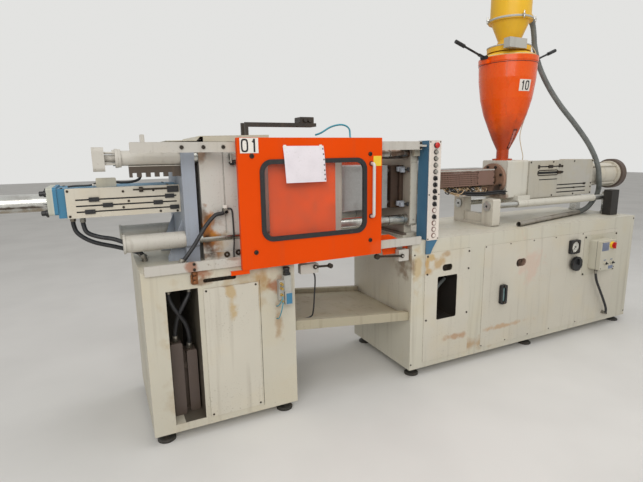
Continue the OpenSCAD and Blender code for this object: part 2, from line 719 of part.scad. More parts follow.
// cylinders on the rear plate, with the notched bar and the lug under and over the front one
module travel_cylinders() {
  y = bar_ys[0];
  z = bar_zs[1];
  end = rear_x[0] - 305;
  notch = 22;
  low_x = [end, rear_x[0]];
  color([0.70, 0.71, 0.70]) home() {
    for (uy = bar_ys) upper_unit(uy, z);
    bar_x(lower_front, low_x, bar_ys[0], bar_zs[0]);
    bar_x(lower_front + 12, [low_x[0] - 12, low_x[0]], bar_ys[0], bar_zs[0]);
    bar_x(lower_rear, low_x, bar_ys[1], bar_zs[0]);
    bar_x(lower_rear + 12, [low_x[0] - 12, low_x[0]], bar_ys[1], bar_zs[0]);
    difference() {
      box([rear_x[0] - 255, rear_x[0]], [y - 20, y + 20], [z - 98, z - upper_barrel / 2]);
      for (i = [0 : 4]) box([rear_x[0] - 240 + i * 2 * notch, rear_x[0] - 240 + (2 * i + 1) * notch],
        [y - 21, y + 21], [z - 99, z - 76]);
    }
    slab([rear_x[0] - 190, rear_x[0] - 168], [y - 12, y + 12], [z, z + 119], 6);
    box([rear_x[0] - 150, rear_x[0] - 60], [y - 30, y + 30], [z, z + upper_barrel / 2 + 10]);
  }
}

// stroke box: long closed box behind the cream plate, with its end block
module stroke_box() {
  end_x = [stroke_x[0] - stroke_end, stroke_x[0]];
  color([0.36, 0.50, 0.62]) home() difference() {
    union() {
      box(stroke_x, stroke_y, stroke_z);
      end_slab(end_x, [stroke_y[0] - 7, stroke_y[1] + 7], [stroke_z[0] + 18, stroke_z[1] + 8], 12);
    }
    bar_x(ram_d + 2 * bore_gap, [end_x[0] - eps, stroke_x[1] + eps], axis_y, axis_z);
  }
}

// cream plate with slots for the switching dogs
module stroke_plate() {
  x = [stroke_x[0] + 38, stroke_x[1]];
  z = [stroke_z[0] - 3, stroke_z[1]];
  high = z[1] - z[0];
  color([0.88, 0.86, 0.78]) home() {
    difference() {
      slab(x, stroke_plate_y, z, 5);
      for (s = stroke_slots) slab([x[0] + s[0], x[0] + s[1]],
        [stroke_plate_y[0] - eps, stroke_plate_y[1] - 4],
        [z[0] + high * s[2] - stroke_slot / 2, z[0] + high * s[2] + stroke_slot / 2],
        stroke_slot / 2 - 0.5);
    }
    for (d = stroke_dogs) translate([x[0] + d[0], stroke_plate_y[0] - dog_size[1],
      z[0] + high * d[1] - dog_size[2] / 2]) cube(dog_size);
    translate([x[0] + stroke_slider[0], stroke_plate_y[0] - dog_size[1],
      z[0] + high * stroke_slider[2] - stroke_slider[3] / 2])
      cube([stroke_slider[1], dog_size[1], stroke_slider[3]]);
  }
}

// connector box on the stroke box and the junction box on the right bed
module junction_boxes() {
  color([0.85, 0.82, 0.72]) home() {
    slab([rear_x[0] - 415, rear_x[0] - 317], [stroke_y[0] + 25, stroke_y[0] + 85],
      [stroke_z[1], stroke_z[1] + 46], 6);
    slab([right_end - 177, right_end - 78], [axis_y - 275, axis_y - 200],
      [bed_top, bed_top + 225], 8);
  }
}

// fixed guards: orange sheet behind the gate, sloping sheet low at the mould, rear guard
module fixed_guards() {
  x = [housing_x[1] - 60, platen_x[0] - 53];
  low = [[fixed_x[0] - 288, bed_top + 54], [fixed_x[0] - 212, bed_top + 54],
    [right_x, bed_top - 20], [right_x, bed_top - 80], [fixed_x[0] - 255, bed_top - 80]];
  color([0.86, 0.36, 0.16]) home() {
    slab(x, [0, sheet], [lower_rail_z[1] - 12, upper_rail_z[0] + 6], 4);
    profile_y(low, [switch_y[1] + 8, switch_y[1] + 8 + sheet]);
    difference() {
      box([housing_x[0], column_x[1]], [bed_depth - sheet, bed_depth], [bed_top, upper_rail_z[1]]);
      slab([gate_x[0] + 120, gate_x[1] - 120], [bed_depth - sheet - eps, bed_depth + eps],
        window_z, window_round);
    }
    box([housing_x[0], column_x[1]], [bed_depth - 30, bed_depth - sheet],
      [upper_rail_z[1] - sheet, upper_rail_z[1]]);
  }
}

// column for the controls, standing on the right bed with a tapered foot in front
module control_column() {
  foot = [[column_x[0], bed_top], [column_x[1], bed_top], [column_x[1] - 40, bed_top - 60],
    [column_x[0] + 38, bed_top - 98], [column_x[0], bed_top - 98]];
  color([0.26, 0.45, 0.57]) home() difference() {
    union() {
      box(column_x, column_y, column_z);
      profile_y(foot, [column_y[0], panel_y[0]]);
    }
    for (i = concat([1], selector_places))
      bar_y(shaft_d + 4, control_x, [column_y[0] - eps, column_y[0] + 30], control_z(i));
  }
}

// cream front plate with bezel rings, lamps and blank plugs
module control_plate() {
  color([0.88, 0.86, 0.79]) home() {
    difference() {
      union() {
        slab(column_x, face_y, [column_z[0] - 3, column_z[1]], 5);
        for (i = [1 : 15]) bar_y(bezel_d, control_x, [face_y[0] - bezel_high, face_y[0]], control_z(i));
      }
      for (i = concat([1], selector_places))
        bar_y(shaft_d + 2 * bore_gap, control_x, [face_y[0] - bezel_high - eps, face_y[1] + eps],
          control_z(i));
    }
    for (i = lamp_places) translate([control_x, face_y[0] - bezel_high, control_z(i)])
      rotate([90, 0, 0]) cylinder(d1 = bezel_d - 6, d2 = bezel_d - 12, h = 12);
    for (i = blank_places) translate([control_x, face_y[0] - bezel_high, control_z(i)])
      rotate([90, 0, 0]) cylinder(d = bezel_d - 8, h = 3);
  }
}

// saddle that holds the guide rods' left ends
module rod_saddle() {
  tower = 112;
  top = rod_z + 57;
  web = [[rod_ys[0], bed_top], [rod_ys[1], bed_top], [rod_ys[1], rod_z + 10],
    [rod_ys[1] - 60, bed_top + 90], [rod_ys[0] + 60, bed_top + 90], [rod_ys[0], rod_z + 10]];
  color([0.80, 0.79, 0.72]) home() difference() {
    union() {
      for (y = rod_ys) end_slab(saddle_x, [y - tower / 2, y + tower / 2], [bed_top, top], 12);
      profile_x(web, [saddle_x[0] + 12, saddle_x[1] - 12]);
      box(saddle_x, [rod_ys[0] - 40, rod_ys[1] + 40], [bed_top, bed_top + 22]);
    }
    for (y = rod_ys) bar_x(rod_d + 2 * bore_gap, [saddle_x[0] - eps, saddle_x[1] + eps], y, rod_z);
  }
}

// guide rods with an end cap at the left and a leg under the right end
module guide_rods() {
  leg_half = 34;
  color([0.75, 0.75, 0.74]) home() for (y = rod_ys) {
    bar_x(rod_d, [saddle_x[0], leg_x[1] + 10], y, rod_z);
    bar_x(rod_d + 22, [saddle_x[0] - 10, saddle_x[0]], y, rod_z);
    end_slab(leg_x, [y - leg_half, y + leg_half], [bed_top, rod_z + 45], 10);
    box([leg_x[0] - 12, leg_x[1] + 12], [y - leg_half, y + leg_half], [bed_top, bed_top + 20]);
  }
}

// isolator box on its plate, with two small controls below the main knob
module isolator_box() {
  plate_z2 = [isolator_z[0] - 57, isolator_z[1] + 36];
  color([0.80, 0.79, 0.73]) home() {
    slab(isolator_plate_x, [-2 * sheet, -sheet], plate_z2, 8);
    difference() {
      slab(isolator_x, isolator_y, isolator_z, 10);
      bar_y(shaft_d + 2 * bore_gap, knob_x, [isolator_y[0] - eps, isolator_y[0] + 30], knob_z);
    }
    bar_y(46, knob_x - 2, [isolator_y[0], isolator_y[0] + 1], knob_z - 90);
    for (x = [isolator_x[0] + 62, isolator_x[0] + 148])
      bar_y(26, x, [isolator_y[0] - 16, isolator_y[0]], isolator_z[0] + 59);
    bar_z(30, isolator_x[0] + 49, -50, [isolator_z[0] - 0, isolator_z[0] + 10]);
  }
}

// square pressure gauge with a round dial, and the oil sight glass
module oil_gauges() {
  g = gauge_size / 2;
  y = [-sheet - 26, -sheet];
  color([0.25, 0.26, 0.27]) home() {
    difference() {
      slab([gauge_x + 0, gauge_x + gauge_size], y, [gauge_z, gauge_z + gauge_size], 12);
      bar_y(gauge_size - 18, gauge_x + g, [y[0] - eps, y[0] + 8], gauge_z + g);
    }
    difference() {
      slab([sight_x, sight_x + 62], [-sheet - 24, -sheet], [bed_top - 565, bed_top - 415], 14);
      slab([sight_x + 17, sight_x + 45], [-sheet - 25, -sheet - 12],
        [bed_top - 545, bed_top - 435], 12);
    }
    bar_y(44, valve_x, [-sheet - 14, -sheet], valve_z);
    bar_y(24, valve_x, [-sheet - 20, -sheet - 14], valve_z);
  }
}

// small valve unit on the left bed's right post
module valve_unit() {
  x = [left_bed - 80, left_bed - 37];
  color([0.82, 0.82, 0.79]) home() {
    slab(x, [-40, 0], [bed_top - 199, bed_top - 103], 5);
    slab([x[0] + 3, x[1] + 7], [-42, 0], [bed_top - 279, bed_top - 199], 5);
    box([x[0] - 30, x[0]], [-34, 0], [bed_top - 250, bed_top - 130]);
    bar_z(22, (x[0] + x[1]) / 2, -20, [bed_top - 103, bed_top - 73]);
  }
}

// position switches on brackets behind the lower rail
module gate_switches() {
  pin_d = 10;
  color([0.78, 0.76, 0.70]) home() {
    slab(left_switch, switch_y, [bed_top - 123, bed_top - 65], 6);
    slab(right_switch, switch_y, [bed_top - 125, bed_top - 48], 6);
    for (s = [left_switch, right_switch]) {
      box([s[0] + 10, s[0] + 55], [switch_y[1], switch_y[1] + 4], [bed_top - 100, bed_top + 18]);
      box([s[0] + 10, s[0] + 55], [0, switch_y[1]], [bed_top - 2, bed_top + 18]);
    }
    for (p = [left_pivot, right_pivot]) bar_y(pin_d, p[0], [switch_y[0] - 14, switch_y[0]], p[1]);
  }
}

// switch lever with its hub on the switch's pin and a roller or knob at the end
module lever(p, reach, rise, end_d, y) {
  hub = 26;
  pin_d = 10;
  wide = 12;
  run = sqrt(reach * reach + rise * rise);
  translate([p[0], 0, p[1]]) rotate([0, -atan2(rise, reach), 0]) {
    difference() {
      union() {
        bar_y(hub, 0, y, 0);
        box([0, run], y, [-wide / 2, wide / 2]);
      }
      bar_y(pin_d + 2 * bore_gap, 0, [y[0] - eps, y[1] + eps], 0);
    }
    bar_y(end_d, run, [y[0] - 10, y[1]], 0);
  }
}

module switch_lever_left() {
  color([0.28, 0.28, 0.28]) home()
    lever(left_pivot, 98, -4, 30, [switch_y[0] - 10, switch_y[0] - slide_gap]);
}

module switch_lever_right() {
  color([0.28, 0.28, 0.28]) home()
    lever(right_pivot, -201, 18, 34, [switch_y[0] - 10, switch_y[0] - slide_gap]);
}

// pump and filter in the left bed's bay
module pump_unit() {
  x = bay_leg + bay_width / 2;
  floor_z = foot_height + 45;
  color([0.30, 0.31, 0.33]) home() {
    translate([x, 200, floor_z]) rotate_extrude() polygon([[0, 0], [68, 0], [68, 14], [58, 18],
      [58, 250], [66, 258], [66, 286], [50, 300], [50, 340], [30, 360], [0, 360]]);
    slab([bay_leg + 12, bay_leg + 76], [90, 160], [floor_z, floor_z + 435], 12);
    slab([bay_leg + bay_width - 66, bay_leg + bay_width - 10], [110, 190],
      [floor_z, floor_z + 375], 12);
  }
}

// fixed half of the mould with its sprue bush
module mould_fixed_half() {
  x = mould_fixed_x;
  color([0.36, 0.32, 0.30]) home() difference() {
    union() {
      box([x[0], x[1] - 30], mould_y, mould_z);
      box([x[1] - 30, x[1]], [mould_y[0] - 20, mould_y[1] + 20], mould_z);
    }
    translate([x[0] - eps, axis_y, axis_z]) rotate([0, 90, 0])
      cylinder(d1 = 6, d2 = 14, h = x[1] - x[0] - 8 + eps);
    bar_x(60, [x[1] - 9, x[1] + eps], axis_y, axis_z);
    for (y = [mould_y[0] + leader_side, mould_y[1] - leader_side],
      z = [mould_z[0] + leader_side, mould_z[1] - leader_side])
      bar_x(leader_d + 2 * bore_gap, [x[0] - eps, x[0] + leader_in + mould_gap + 2], y, z);
  }
}

// hoses and cables that are held at both ends
module fixed_hoses() {
  color([0.10, 0.10, 0.10]) home() for (i = [0 : 5])
    swept(smooth(held_routes[i][1], 3), held_routes[i][0], 8);
}

// moving platen with its bushes and the square step that carries the mould
module moving_platen() {
  x = [platen_x[0], platen_x[0] + platen_thick];
  bush = 34;
  step_in = 60;
  color([0.80, 0.80, 0.76]) home() difference() {
    union() {
      end_slab(x, plate_y, plate_z, 14);
      end_slab([x[1], platen_x[1]], [plate_y[0] + step_in, plate_y[1] - step_in],
        [plate_z[0] + step_in, plate_z[1] - step_in], 20);
      for (y = bar_ys, z = bar_zs) bar_x(bush_d - 4, [x[0] - bush, x[0]], y, z);
    }
    for (y = bar_ys, z = bar_zs)
      bar_x(bar_d + 2 * bore_gap, [x[0] - bush - eps, platen_x[1] + eps], y, z);
  }
}

// ram: long thin rod, piston and nose in one
module ram() {
  color([0.80, 0.81, 0.83]) home() {
    bar_x(ram_d, [-ram_tail, piston_start], axis_y, axis_z);
    difference() {
      bar_x(piston_d, [piston_start, platen_x[0]], axis_y, axis_z);
      for (g = [18, 38]) difference() {
        bar_x(piston_d + 2, [piston_start + g, piston_start + g + 8], axis_y, axis_z);
        bar_x(piston_d - 8, [piston_start, piston_start + 60], axis_y, axis_z);
      }
    }
  }
}

// moving half of the mould: base, two rails, cavity block and leader pins
module mould_moving_half() {
  x = mould_moving_x;
  rails = [mould_y[0], mould_y[1] - spacer_wide];
  color([0.66, 0.67, 0.66]) home() {
    box([x[0], spacer_x[0]], [mould_y[0] - 20, mould_y[1] + 20], mould_z);
    for (y = rails) box(spacer_x, [y, y + spacer_wide], mould_z);
    difference() {
      union() {
        box([spacer_x[1], x[1] - face_plate - 3], mould_y, mould_z);
        box([x[1] - face_plate - 3, x[1] - face_plate], [mould_y[0] + 4, mould_y[1] - 4],
          [mould_z[0] + 4, mould_z[1] - 4]);
        box([x[1] - face_plate, x[1]], mould_y, mould_z);
      }
      bar_x(90, [x[1] - 24, x[1] + eps], axis_y, axis_z);
      for (y = [-60, 60], z = [-60, 60])
        bar_x(10 + 2 * bore_gap, [spacer_x[1] - eps, spacer_x[1] + 120], axis_y + y, axis_z + z);
    }
    for (y = [mould_y[0] + leader_side, mould_y[1] - leader_side],
      z = [mould_z[0] + leader_side, mould_z[1] - leader_side])
      bar_x(leader_d, [x[1], x[1] + mould_gap + leader_in - 2 - 26], y, z);
  }
}

// ejector plate with its four pins, in the space between the mould's rails
module ejector_plate() {
  y = [mould_y[0] + spacer_wide + 4, mould_y[1] - spacer_wide - 4];
  color([0.60, 0.61, 0.60]) home() {
    box(ejector_x, y, [mould_z[0] + 10, mould_z[1] - 10]);
    for (dy = [-60, 60], dz = [-60, 60])
      bar_x(10, [ejector_x[1], spacer_x[1] + 50], axis_y + dy, axis_z + dz);
  }
}

// sliding gate: folded sheet with the window's opening, slide blocks and bare plates
module gate_panel() {
  x = gate_x;
  y = gate_y;
  open_x = [window_x[0] + gasket_grip, window_x[1] - gasket_grip];
  open_z = [window_z[0] + gasket_grip, window_z[1] - gasket_grip];
  open_r = window_round - gasket_grip;
  shoes = [x[0] + 60, x[1] - 60 - shoe_width];
  color([0.90, 0.30, 0.08]) home() {
    difference() {
      slab(x, y, gate_z, 5);
      box([x[0] + sheet, x[1] - sheet], [y[0] + sheet, y[1] + eps],
        [gate_z[0] + sheet, gate_z[1] - sheet]);
      slab(open_x, [y[0] - eps, y[0] + sheet + eps], open_z, open_r);
    }
    for (sx = shoes) {
      box([sx, sx + shoe_width], [y[0] + sheet, y[1] + rail_thick],
        [upper_rail_z[1] + slide_gap, gate_z[1] - sheet]);
      box([sx, sx + shoe_width], [y[0] + sheet, y[1] + rail_thick],
        [gate_z[0] + sheet, lower_rail_z[0] - slide_gap]);
    }
    box([x[0] - 64, x[0] + 40], [y[0] + 4, y[0] + 6], [gate_z[0] - 22, gate_z[0]]);
    box([x[0] - 64, x[0] + 40], [y[0] + 4, y[0] + 20], [gate_z[0] - 2, gate_z[0]]);
    box([x[0] + 16, x[0] + 115], [y[0] - 2, y[0]], [gate_z[1] - 81, gate_z[1] - 4]);
  }
}

// rubber frame that grips the gate's sheet and holds the pane
module gate_gasket() {
  y = [gate_y[0] - gasket_step, gate_y[0] + sheet + gasket_step];
  grip = gasket_grip - 0.3;
  in_x = [window_x[0] + gasket_width, window_x[1] - gasket_width];
  in_z = [window_z[0] + gasket_width, window_z[1] - gasket_width];
  in_r = window_round - gasket_width + 4;
  seat = 10;
  color([0.07, 0.07, 0.07]) home() difference() {
    slab(window_x, y, window_z, window_round);
    slab(in_x, [y[0] - eps, y[1] + eps], in_z, in_r);
    difference() {
      slab([window_x[0] - eps, window_x[1] + eps], [gate_y[0], gate_y[0] + sheet],
        [window_z[0] - eps, window_z[1] + eps], window_round);
      slab([window_x[0] + gasket_grip, window_x[1] - gasket_grip],
        [gate_y[0] - eps, gate_y[0] + sheet + eps],
        [window_z[0] + gasket_grip, window_z[1] - gasket_grip], window_round - gasket_grip);
    }
    slab([in_x[0] - seat, in_x[1] + seat], [gate_y[0] - pane_thick / 2 + 1.5,
      gate_y[0] + pane_thick / 2 + 1.5], [in_z[0] - seat, in_z[1] + seat], in_r + seat);
  }
}

// clear pane held in the rubber frame
module gate_window() {
  hold = gasket_width - 10;
  color([0.75, 0.80, 0.80]) home()
    slab([window_x[0] + hold, window_x[1] - hold],
      [gate_y[0] - pane_thick / 2 + 1.5, gate_y[0] + pane_thick / 2 + 1.5],
      [window_z[0] + hold, window_z[1] - hold], window_round - hold + 4);
}

// bow handle of the gate: tube with rounded corners on two small feet
module gate_handle() {
  foot_d = handle_d + 8;
  color([0.82, 0.81, 0.79]) home() {
    bar_z(handle_d, handle_x, handle_y, handle_z);
    for (z = handle_z) {
      translate([handle_x, handle_y, z]) sphere(d = handle_d);
      bar_y(handle_d, handle_x, [handle_y, gate_y[0]], z);
      bar_y(foot_d, handle_x, [gate_y[0] - 4, gate_y[0]], z);
    }
  }
}

// heated barrel with nozzle, head and heater bands
module barrel() {
  r = barrel_d / 2;
  x = barrel_x;
  bands = 6;
  band_x = [x[0] + 190, x[1] - 30];
  pitch = (band_x[1] - band_x[0]) / bands;
  color([0.55, 0.52, 0.48]) home() difference() {
    union() {
      translate([x[0], axis_y, axis_z]) rotate([0, 90, 0]) rotate_extrude() polygon([[0, 0],
        [11, 0], [20, 10], [20, 34], [31, 40], [31, 76], [24, 82], [24, 104], [r + 6, 112],
        [r + 6, 158], [r, 164], [r, x[1] - x[0]], [0, x[1] - x[0]]]);
      for (i = [0 : bands - 1]) bar_x(barrel_d + 14,
        [band_x[0] + i * pitch, band_x[0] + (i + 0.86) * pitch], axis_y, axis_z);
    }
    bar_x(screw_d + 2 * bore_gap, [x[0] + screw_tip, x[1] + eps], axis_y, axis_z);
    bar_x(10, [x[0] - eps, x[0] + screw_tip + eps], axis_y, axis_z);
  }
}

// guard over the barrel: bent sheet open below, held by two tabs on the flange
module barrel_guard() {
  y = [axis_y - guard_width / 2, axis_y + guard_width / 2];
  color([0.54, 0.44, 0.40]) home() {
    difference() {
      box(guard_x, y, guard_z);
      box([guard_x[0] - eps, guard_x[1] + eps], [y[0] + sheet, y[1] - sheet],
        [guard_z[0] - eps, guard_z[1] - sheet]);
    }
    box([guard_x[1], flange_x[0]], [axis_y - 40, axis_y + 40], [guard_z[1] - sheet, guard_z[1]]);
  }
}

// feed block with its round flange, throat and the tubes that slide on the rods
module feed_block() {
  tube_in = rod_d + 2 * bore_gap;
  lug = [block_x[0] + 95, block_x[1]];
  color([0.84, 0.82, 0.74]) home() difference() {
    union() {
      end_slab(block_x, block_y, block_z, 16);
      bar_x(flange_d, flange_x, axis_y, axis_z);
      for (y = rod_ys) bar_x(slide_tube, tube_x, y, rod_z);
      box(lug, [rod_ys[0] - 12, rod_ys[1] + 12], [rod_z + 12, block_z[0] + 20]);
    }
    for (y = rod_ys) bar_x(tube_in, [tube_x[0] - eps, tube_x[1] + eps], y, rod_z);
    bar_x(screw_d + 2 * bore_gap, [flange_x[0] - eps, block_x[1] + eps], axis_y, axis_z);
    bar_z(throat_d, hopper_x, axis_y, [axis_z, block_z[1] + eps]);
  }
}

// injection cylinder: housing behind the feed block, cylinder, flanges and tie rods
module injection_unit() {
  wide = [block_y[0], block_y[1]];
  high = [cover_z[0], cover_z[1]];
  stud = 88;
  color([0.72, 0.73, 0.72]) home() difference() {
    union() {
      end_slab([body_x[0], body_x[0] + 120], wide, high, 16);
      end_slab([body_x[1] - 90, body_x[1]], wide, high, 16);
      bar_x(cylinder_d - 30, body_x, axis_y, axis_z);
      box([body_x[0], body_x[1]], [wide[0], wide[0] + 12], high);
      bar_x(cylinder_d, [cylinder_x[0], cylinder_x[1]], axis_y, axis_z);
      bar_x(cylinder_d + 40, [cylinder_x[0], cylinder_x[0] + 34], axis_y, axis_z);
      bar_x(cylinder_d + 34, [cylinder_x[1] - 30, cylinder_x[1]], axis_y, axis_z);
      for (a = [45 : 90 : 315]) bar_x(16, [cylinder_x[0] + 30, cylinder_x[1] - 26],
        axis_y + (stud + 22) * cos(a), axis_z + (stud + 22) * sin(a));
    }
    bar_x(sleeve_d + 2 * bore_gap, [body_x[1] - 200, cylinder_x[1] + eps], axis_y, axis_z);
    bar_x(screw_d + 6, [body_x[0] - eps, cylinder_x[1]], axis_y, axis_z);
  }
}

// cream side cover with scale slots and recessed fields
module injection_cover() {
  x = body_x;
  z = cover_z;
  slots = [[99, 413, 0.833, 5], [100, 420, 0.667, 10], [122, 347, 0.484, 4],
    [348, 730, 0.317, 5], [347, 728, 0.219, 5], [348, 727, 0.111, 5]];
  color([0.88, 0.86, 0.79]) home() difference() {
    slab(x, cover_y, z, 8);
    for (s = slots) slab([x[0] + s[0], x[0] + s[1]], [cover_y[0] - eps, cover_y[1] - 4],
      [z[0] + (z[1] - z[0]) * s[2] - s[3], z[0] + (z[1] - z[0]) * s[2] + s[3]], s[3] - 0.5);
  }
}

// hopper: turned shell on a round foot, with a sight slot and a number plate
module hopper() {
  r = hopper_r;
  h = hopper_height;
  t = hopper_wall;
  outer = [[outlet_r, 0.105], [87, 0.207], [119, 0.308], [165, 0.457], [195, 0.606],
    [215, 0.80], [219, 0.94]];
  color([0.85, 0.30, 0.12]) home() translate([hopper_x, axis_y, hopper_z]) difference() {
    rotate_extrude() polygon(concat([[throat_d / 2, 0], [78, 0], [78, 12], [outlet_r, 16]],
      [for (p = outer) [p[0], p[1] * h]], [[r - 5, h - 40], [r, h - 36], [r, h],
      [r - t - 14, h], [r - t - 14, h - 6], [r - t - 5, h - 12]],
      [for (i = [len(outer) - 1 : -1 : 1]) [outer[i][0] - t, outer[i][1] * h]],
      [[throat_d / 2, 0.105 * h]]));
    box([-13, 13], [-r, -throat_d / 2], [h * 0.12, h * 0.30]);
  }
  color([0.85, 0.30, 0.12]) home() for (side = [-1, 1])
    translate([hopper_x + side * (r + hinge_out / 2 - 1), axis_y, hinge_z - hub_d / 2 - slide_gap - 14])
      cube([hinge_out + 2, 52, 28], center = true);
}

// loader: neck, cover plate with its box, funnel, clamp band and drum with inlet
module loader() {
  color([0.90, 0.62, 0.12]) home() translate([hopper_x, axis_y, 0]) {
    rotate_extrude() polygon([[0, rim_z], [hopper_r - 6, rim_z], [hopper_r - 20, rim_z + 14],
      [139, lid_z], [163, lid_z], [163, plate_top], [100, plate_top], [84, funnel_z],
      [loader_r - 10, drum_z], [loader_r + 12, drum_z], [loader_r + 12, drum_z + 30],
      [loader_r, drum_z + 30], [loader_r, drum_top - 40], [loader_r - 34, drum_top], [0, drum_top]]);
    box([-182, -5], [-175, -120], [lid_z + 2, plate_top + 28]);
    difference() {
      bar_x(hose_d + 14, [loader_r - 40, inlet[0] - hopper_x], 0, inlet[2]);
      bar_x(hose_d - 6, [loader_r + 6, inlet[0] - hopper_x + eps], 0, inlet[2]);
    }
  }
}

// screw: long shank with one flight along the heated barrel
module screw() {
  x = [barrel_x[0] + screw_tip + 6, motor_x[0]];
  flight = [x[0] + 40, block_x[1] - 20];
  turns = (flight[1] - flight[0]) / screw_pitch;
  color([0.70, 0.70, 0.72]) home() translate([0, axis_y, axis_z]) {
    translate([x[0], 0, 0]) rotate([0, 90, 0]) cylinder(d1 = 8, d2 = screw_root + 6, h = 30);
    bar_x(screw_root + 6, [x[0] + 30, x[0] + 40], 0, 0);
    translate([flight[0], 0, 0]) rotate([0, 90, 0])
      linear_extrude(flight[1] - flight[0], twist = -360 * turns, slices = ceil(turns * 9),
        $fn = 8) polygon([for (a = [0 : 40 : 320]) (a == 0 ? screw_d : screw_root)
          / 2 * [cos(a), sin(a)]]);
    bar_x(screw_root + 8, [flight[1], x[1]], 0, 0);
  }
}

// drive motor with its flange and the sleeve that runs in the cylinder
module drive_motor() {
  x = motor_x;
  color([0.45, 0.47, 0.48]) home() {
    bar_x(motor_d, [x[0], x[0] + 60], axis_y, axis_z);
    bar_x(motor_d * 0.72, [x[0] + 60, x[0] + 90], axis_y, axis_z);
    bar_x(motor_d * 0.4, [x[0] + 90, x[1]], axis_y, axis_z);
    difference() {
      bar_x(sleeve_d, [cylinder_x[0] - 160, x[0]], axis_y, axis_z);
      bar_x(screw_d + 2, [cylinder_x[0] - 161, x[0]], axis_y, axis_z);
    }
  }
}

// suction hose and the lance that lies on the bed
module suction_hose() {
  color([0.45, 0.46, 0.45]) home() swept(smooth(hose_route, 3), hose_d, 8);
}

module suction_lance() {
  p = lance_route;
  run = p[1] - p[0];
  color([0.72, 0.73, 0.73]) home() translate(p[0])
    rotate([0, 90, atan2(run[1], run[0])]) difference() {
      cylinder(d = lance_d, h = norm(run));
      translate([0, 0, norm(run) - 140]) cylinder(d = lance_d - 6, h = 141);
    }
}

// toggle clamp's lever: hub on the hopper's bracket, arm and rod with a grip
module rim_clamp(side, angle) {
  lever_d = 16;
  color([0.16, 0.16, 0.16]) home()
    translate([hopper_x + side * (hopper_r + hinge_out), axis_y, hinge_z])
      rotate([0, -side * angle, 0]) {
        bar_y(hub_d, 0, [-26, 26], 0);
        box(side > 0 ? [0, 60] : [-60, 0], [-10, 10], [-8, 8]);
        bar_x(lever_d, side > 0 ? [50, clamp_lever] : [-clamp_lever, -50], 0, 0);
        bar_x(lever_d + 12, side > 0 ? [clamp_lever - 90, clamp_lever]
          : [-clamp_lever, 90 - clamp_lever], 0, 0);
      }
}

module hopper_clamp_left() {
  rim_clamp(-1, 18);
}

module hopper_clamp_right() {
  rim_clamp(1, 22);
}

// red mushroom button on its stem
module stop_button() {
  z = control_z(1);
  y = face_y[0] - bezel_high - stop_travel - 1;
  color([0.75, 0.10, 0.08]) home() {
    translate([control_x, y, z]) rotate([90, 0, 0]) rotate_extrude() polygon([[0, 0],
      [stop_d / 2 - 4, 0], [stop_d / 2, 4], [stop_d / 2 - 2, 9], [stop_d / 2 - 8, 13], [0, 15]]);
    bar_y(shaft_d, control_x, [y, face_y[1] + 12], z);
  }
}

// rotary selector: disc with a grip bar and a shaft through the plate
module selector(i) {
  z = control_z(selector_places[i]);
  y = face_y[0] - bezel_high - slide_gap;
  color([0.08, 0.08, 0.08]) home() {
    bar_y(bezel_d - 4, control_x, [y - 6, y], z);
    slab([control_x - 5, control_x + 5], [y - 18, y - 6], [z - 12, z + 12], 4);
    bar_y(shaft_d, control_x, [y, face_y[1] + 12], z);
  }
}

module selector_1() {
  selector(0);
}

module selector_2() {
  selector(1);
}

module selector_3() {
  selector(2);
}

module selector_4() {
  selector(3);
}

module selector_5() {
  selector(4);
}

module selector_6() {
  selector(5);
}

// main switch knob on the isolator box
module isolator_knob() {
  y = isolator_y[0] - slide_gap;
  color([0.80, 0.12, 0.08]) home() {
    bar_y(58, knob_x, [y - 8, y], knob_z);
    slab([knob_x - 8, knob_x + 8], [y - 34, y - 8], [knob_z - 26, knob_z + 26], 7);
    bar_y(shaft_d, knob_x, [y, isolator_y[0] + 20], knob_z);
  }
}

// round valve knob with a small lever, below the gauge
module pressure_knob() {
  y = -sheet - 20 - slide_gap;
  color([0.12, 0.12, 0.13]) home() {
    difference() {
      bar_y(120, valve_x, [y - 22, y], valve_z);
      for (a = [0 : 45 : 315]) bar_y(16, valve_x + 64 * cos(a), [y - 23, y - 8], valve_z + 64 * sin(a));
    }
    box([valve_x - 4, valve_x + 4], [y - 40, y - 22], [valve_z - 4, valve_z + 44]);
  }
}

base_left();
base_right();
base_tray();
levelling_feet();
cover_panels();
gate_rails();
machine_bolts();
rear_plate();
clamp_housing();
top_cover();
tie_bars();
fixed_platen();
travel_cylinders();
stroke_box();
stroke_plate();
junction_boxes();
fixed_guards();
control_column();
control_plate();
rod_saddle();
guide_rods();
isolator_box();
oil_gauges();
valve_unit();
gate_switches();
pump_unit();
mould_fixed_half();
fixed_hoses();
moving_platen();
ram();
mould_moving_half();
ejector_plate();
gate_panel();
gate_gasket();
gate_window();
gate_handle();
barrel();
barrel_guard();
feed_block();
injection_unit();
injection_cover();
hopper();
loader();
screw();
drive_motor();
suction_hose();
suction_lance();
hopper_clamp_left();
hopper_clamp_right();
stop_button();
selector_1();
selector_2();
selector_3();
selector_4();
selector_5();
selector_6();
isolator_knob();
pressure_knob();
switch_lever_left();
switch_lever_right();
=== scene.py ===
# %% [markdown]
# # An injection moulding machine, dressed for its portrait
# The packed CAD model is the frame of this lesson. It has the right sizes and
# the right moving parts, but bare surfaces. We keep its shapes where they are
# good and give them paint, steel, rubber and years of oil. Small parts such as
# screws, wires and number plates are built here, to the same drawing.

# %% The frame and its size
import math

import bmesh
import bpy
from mathutils import Matrix, Vector


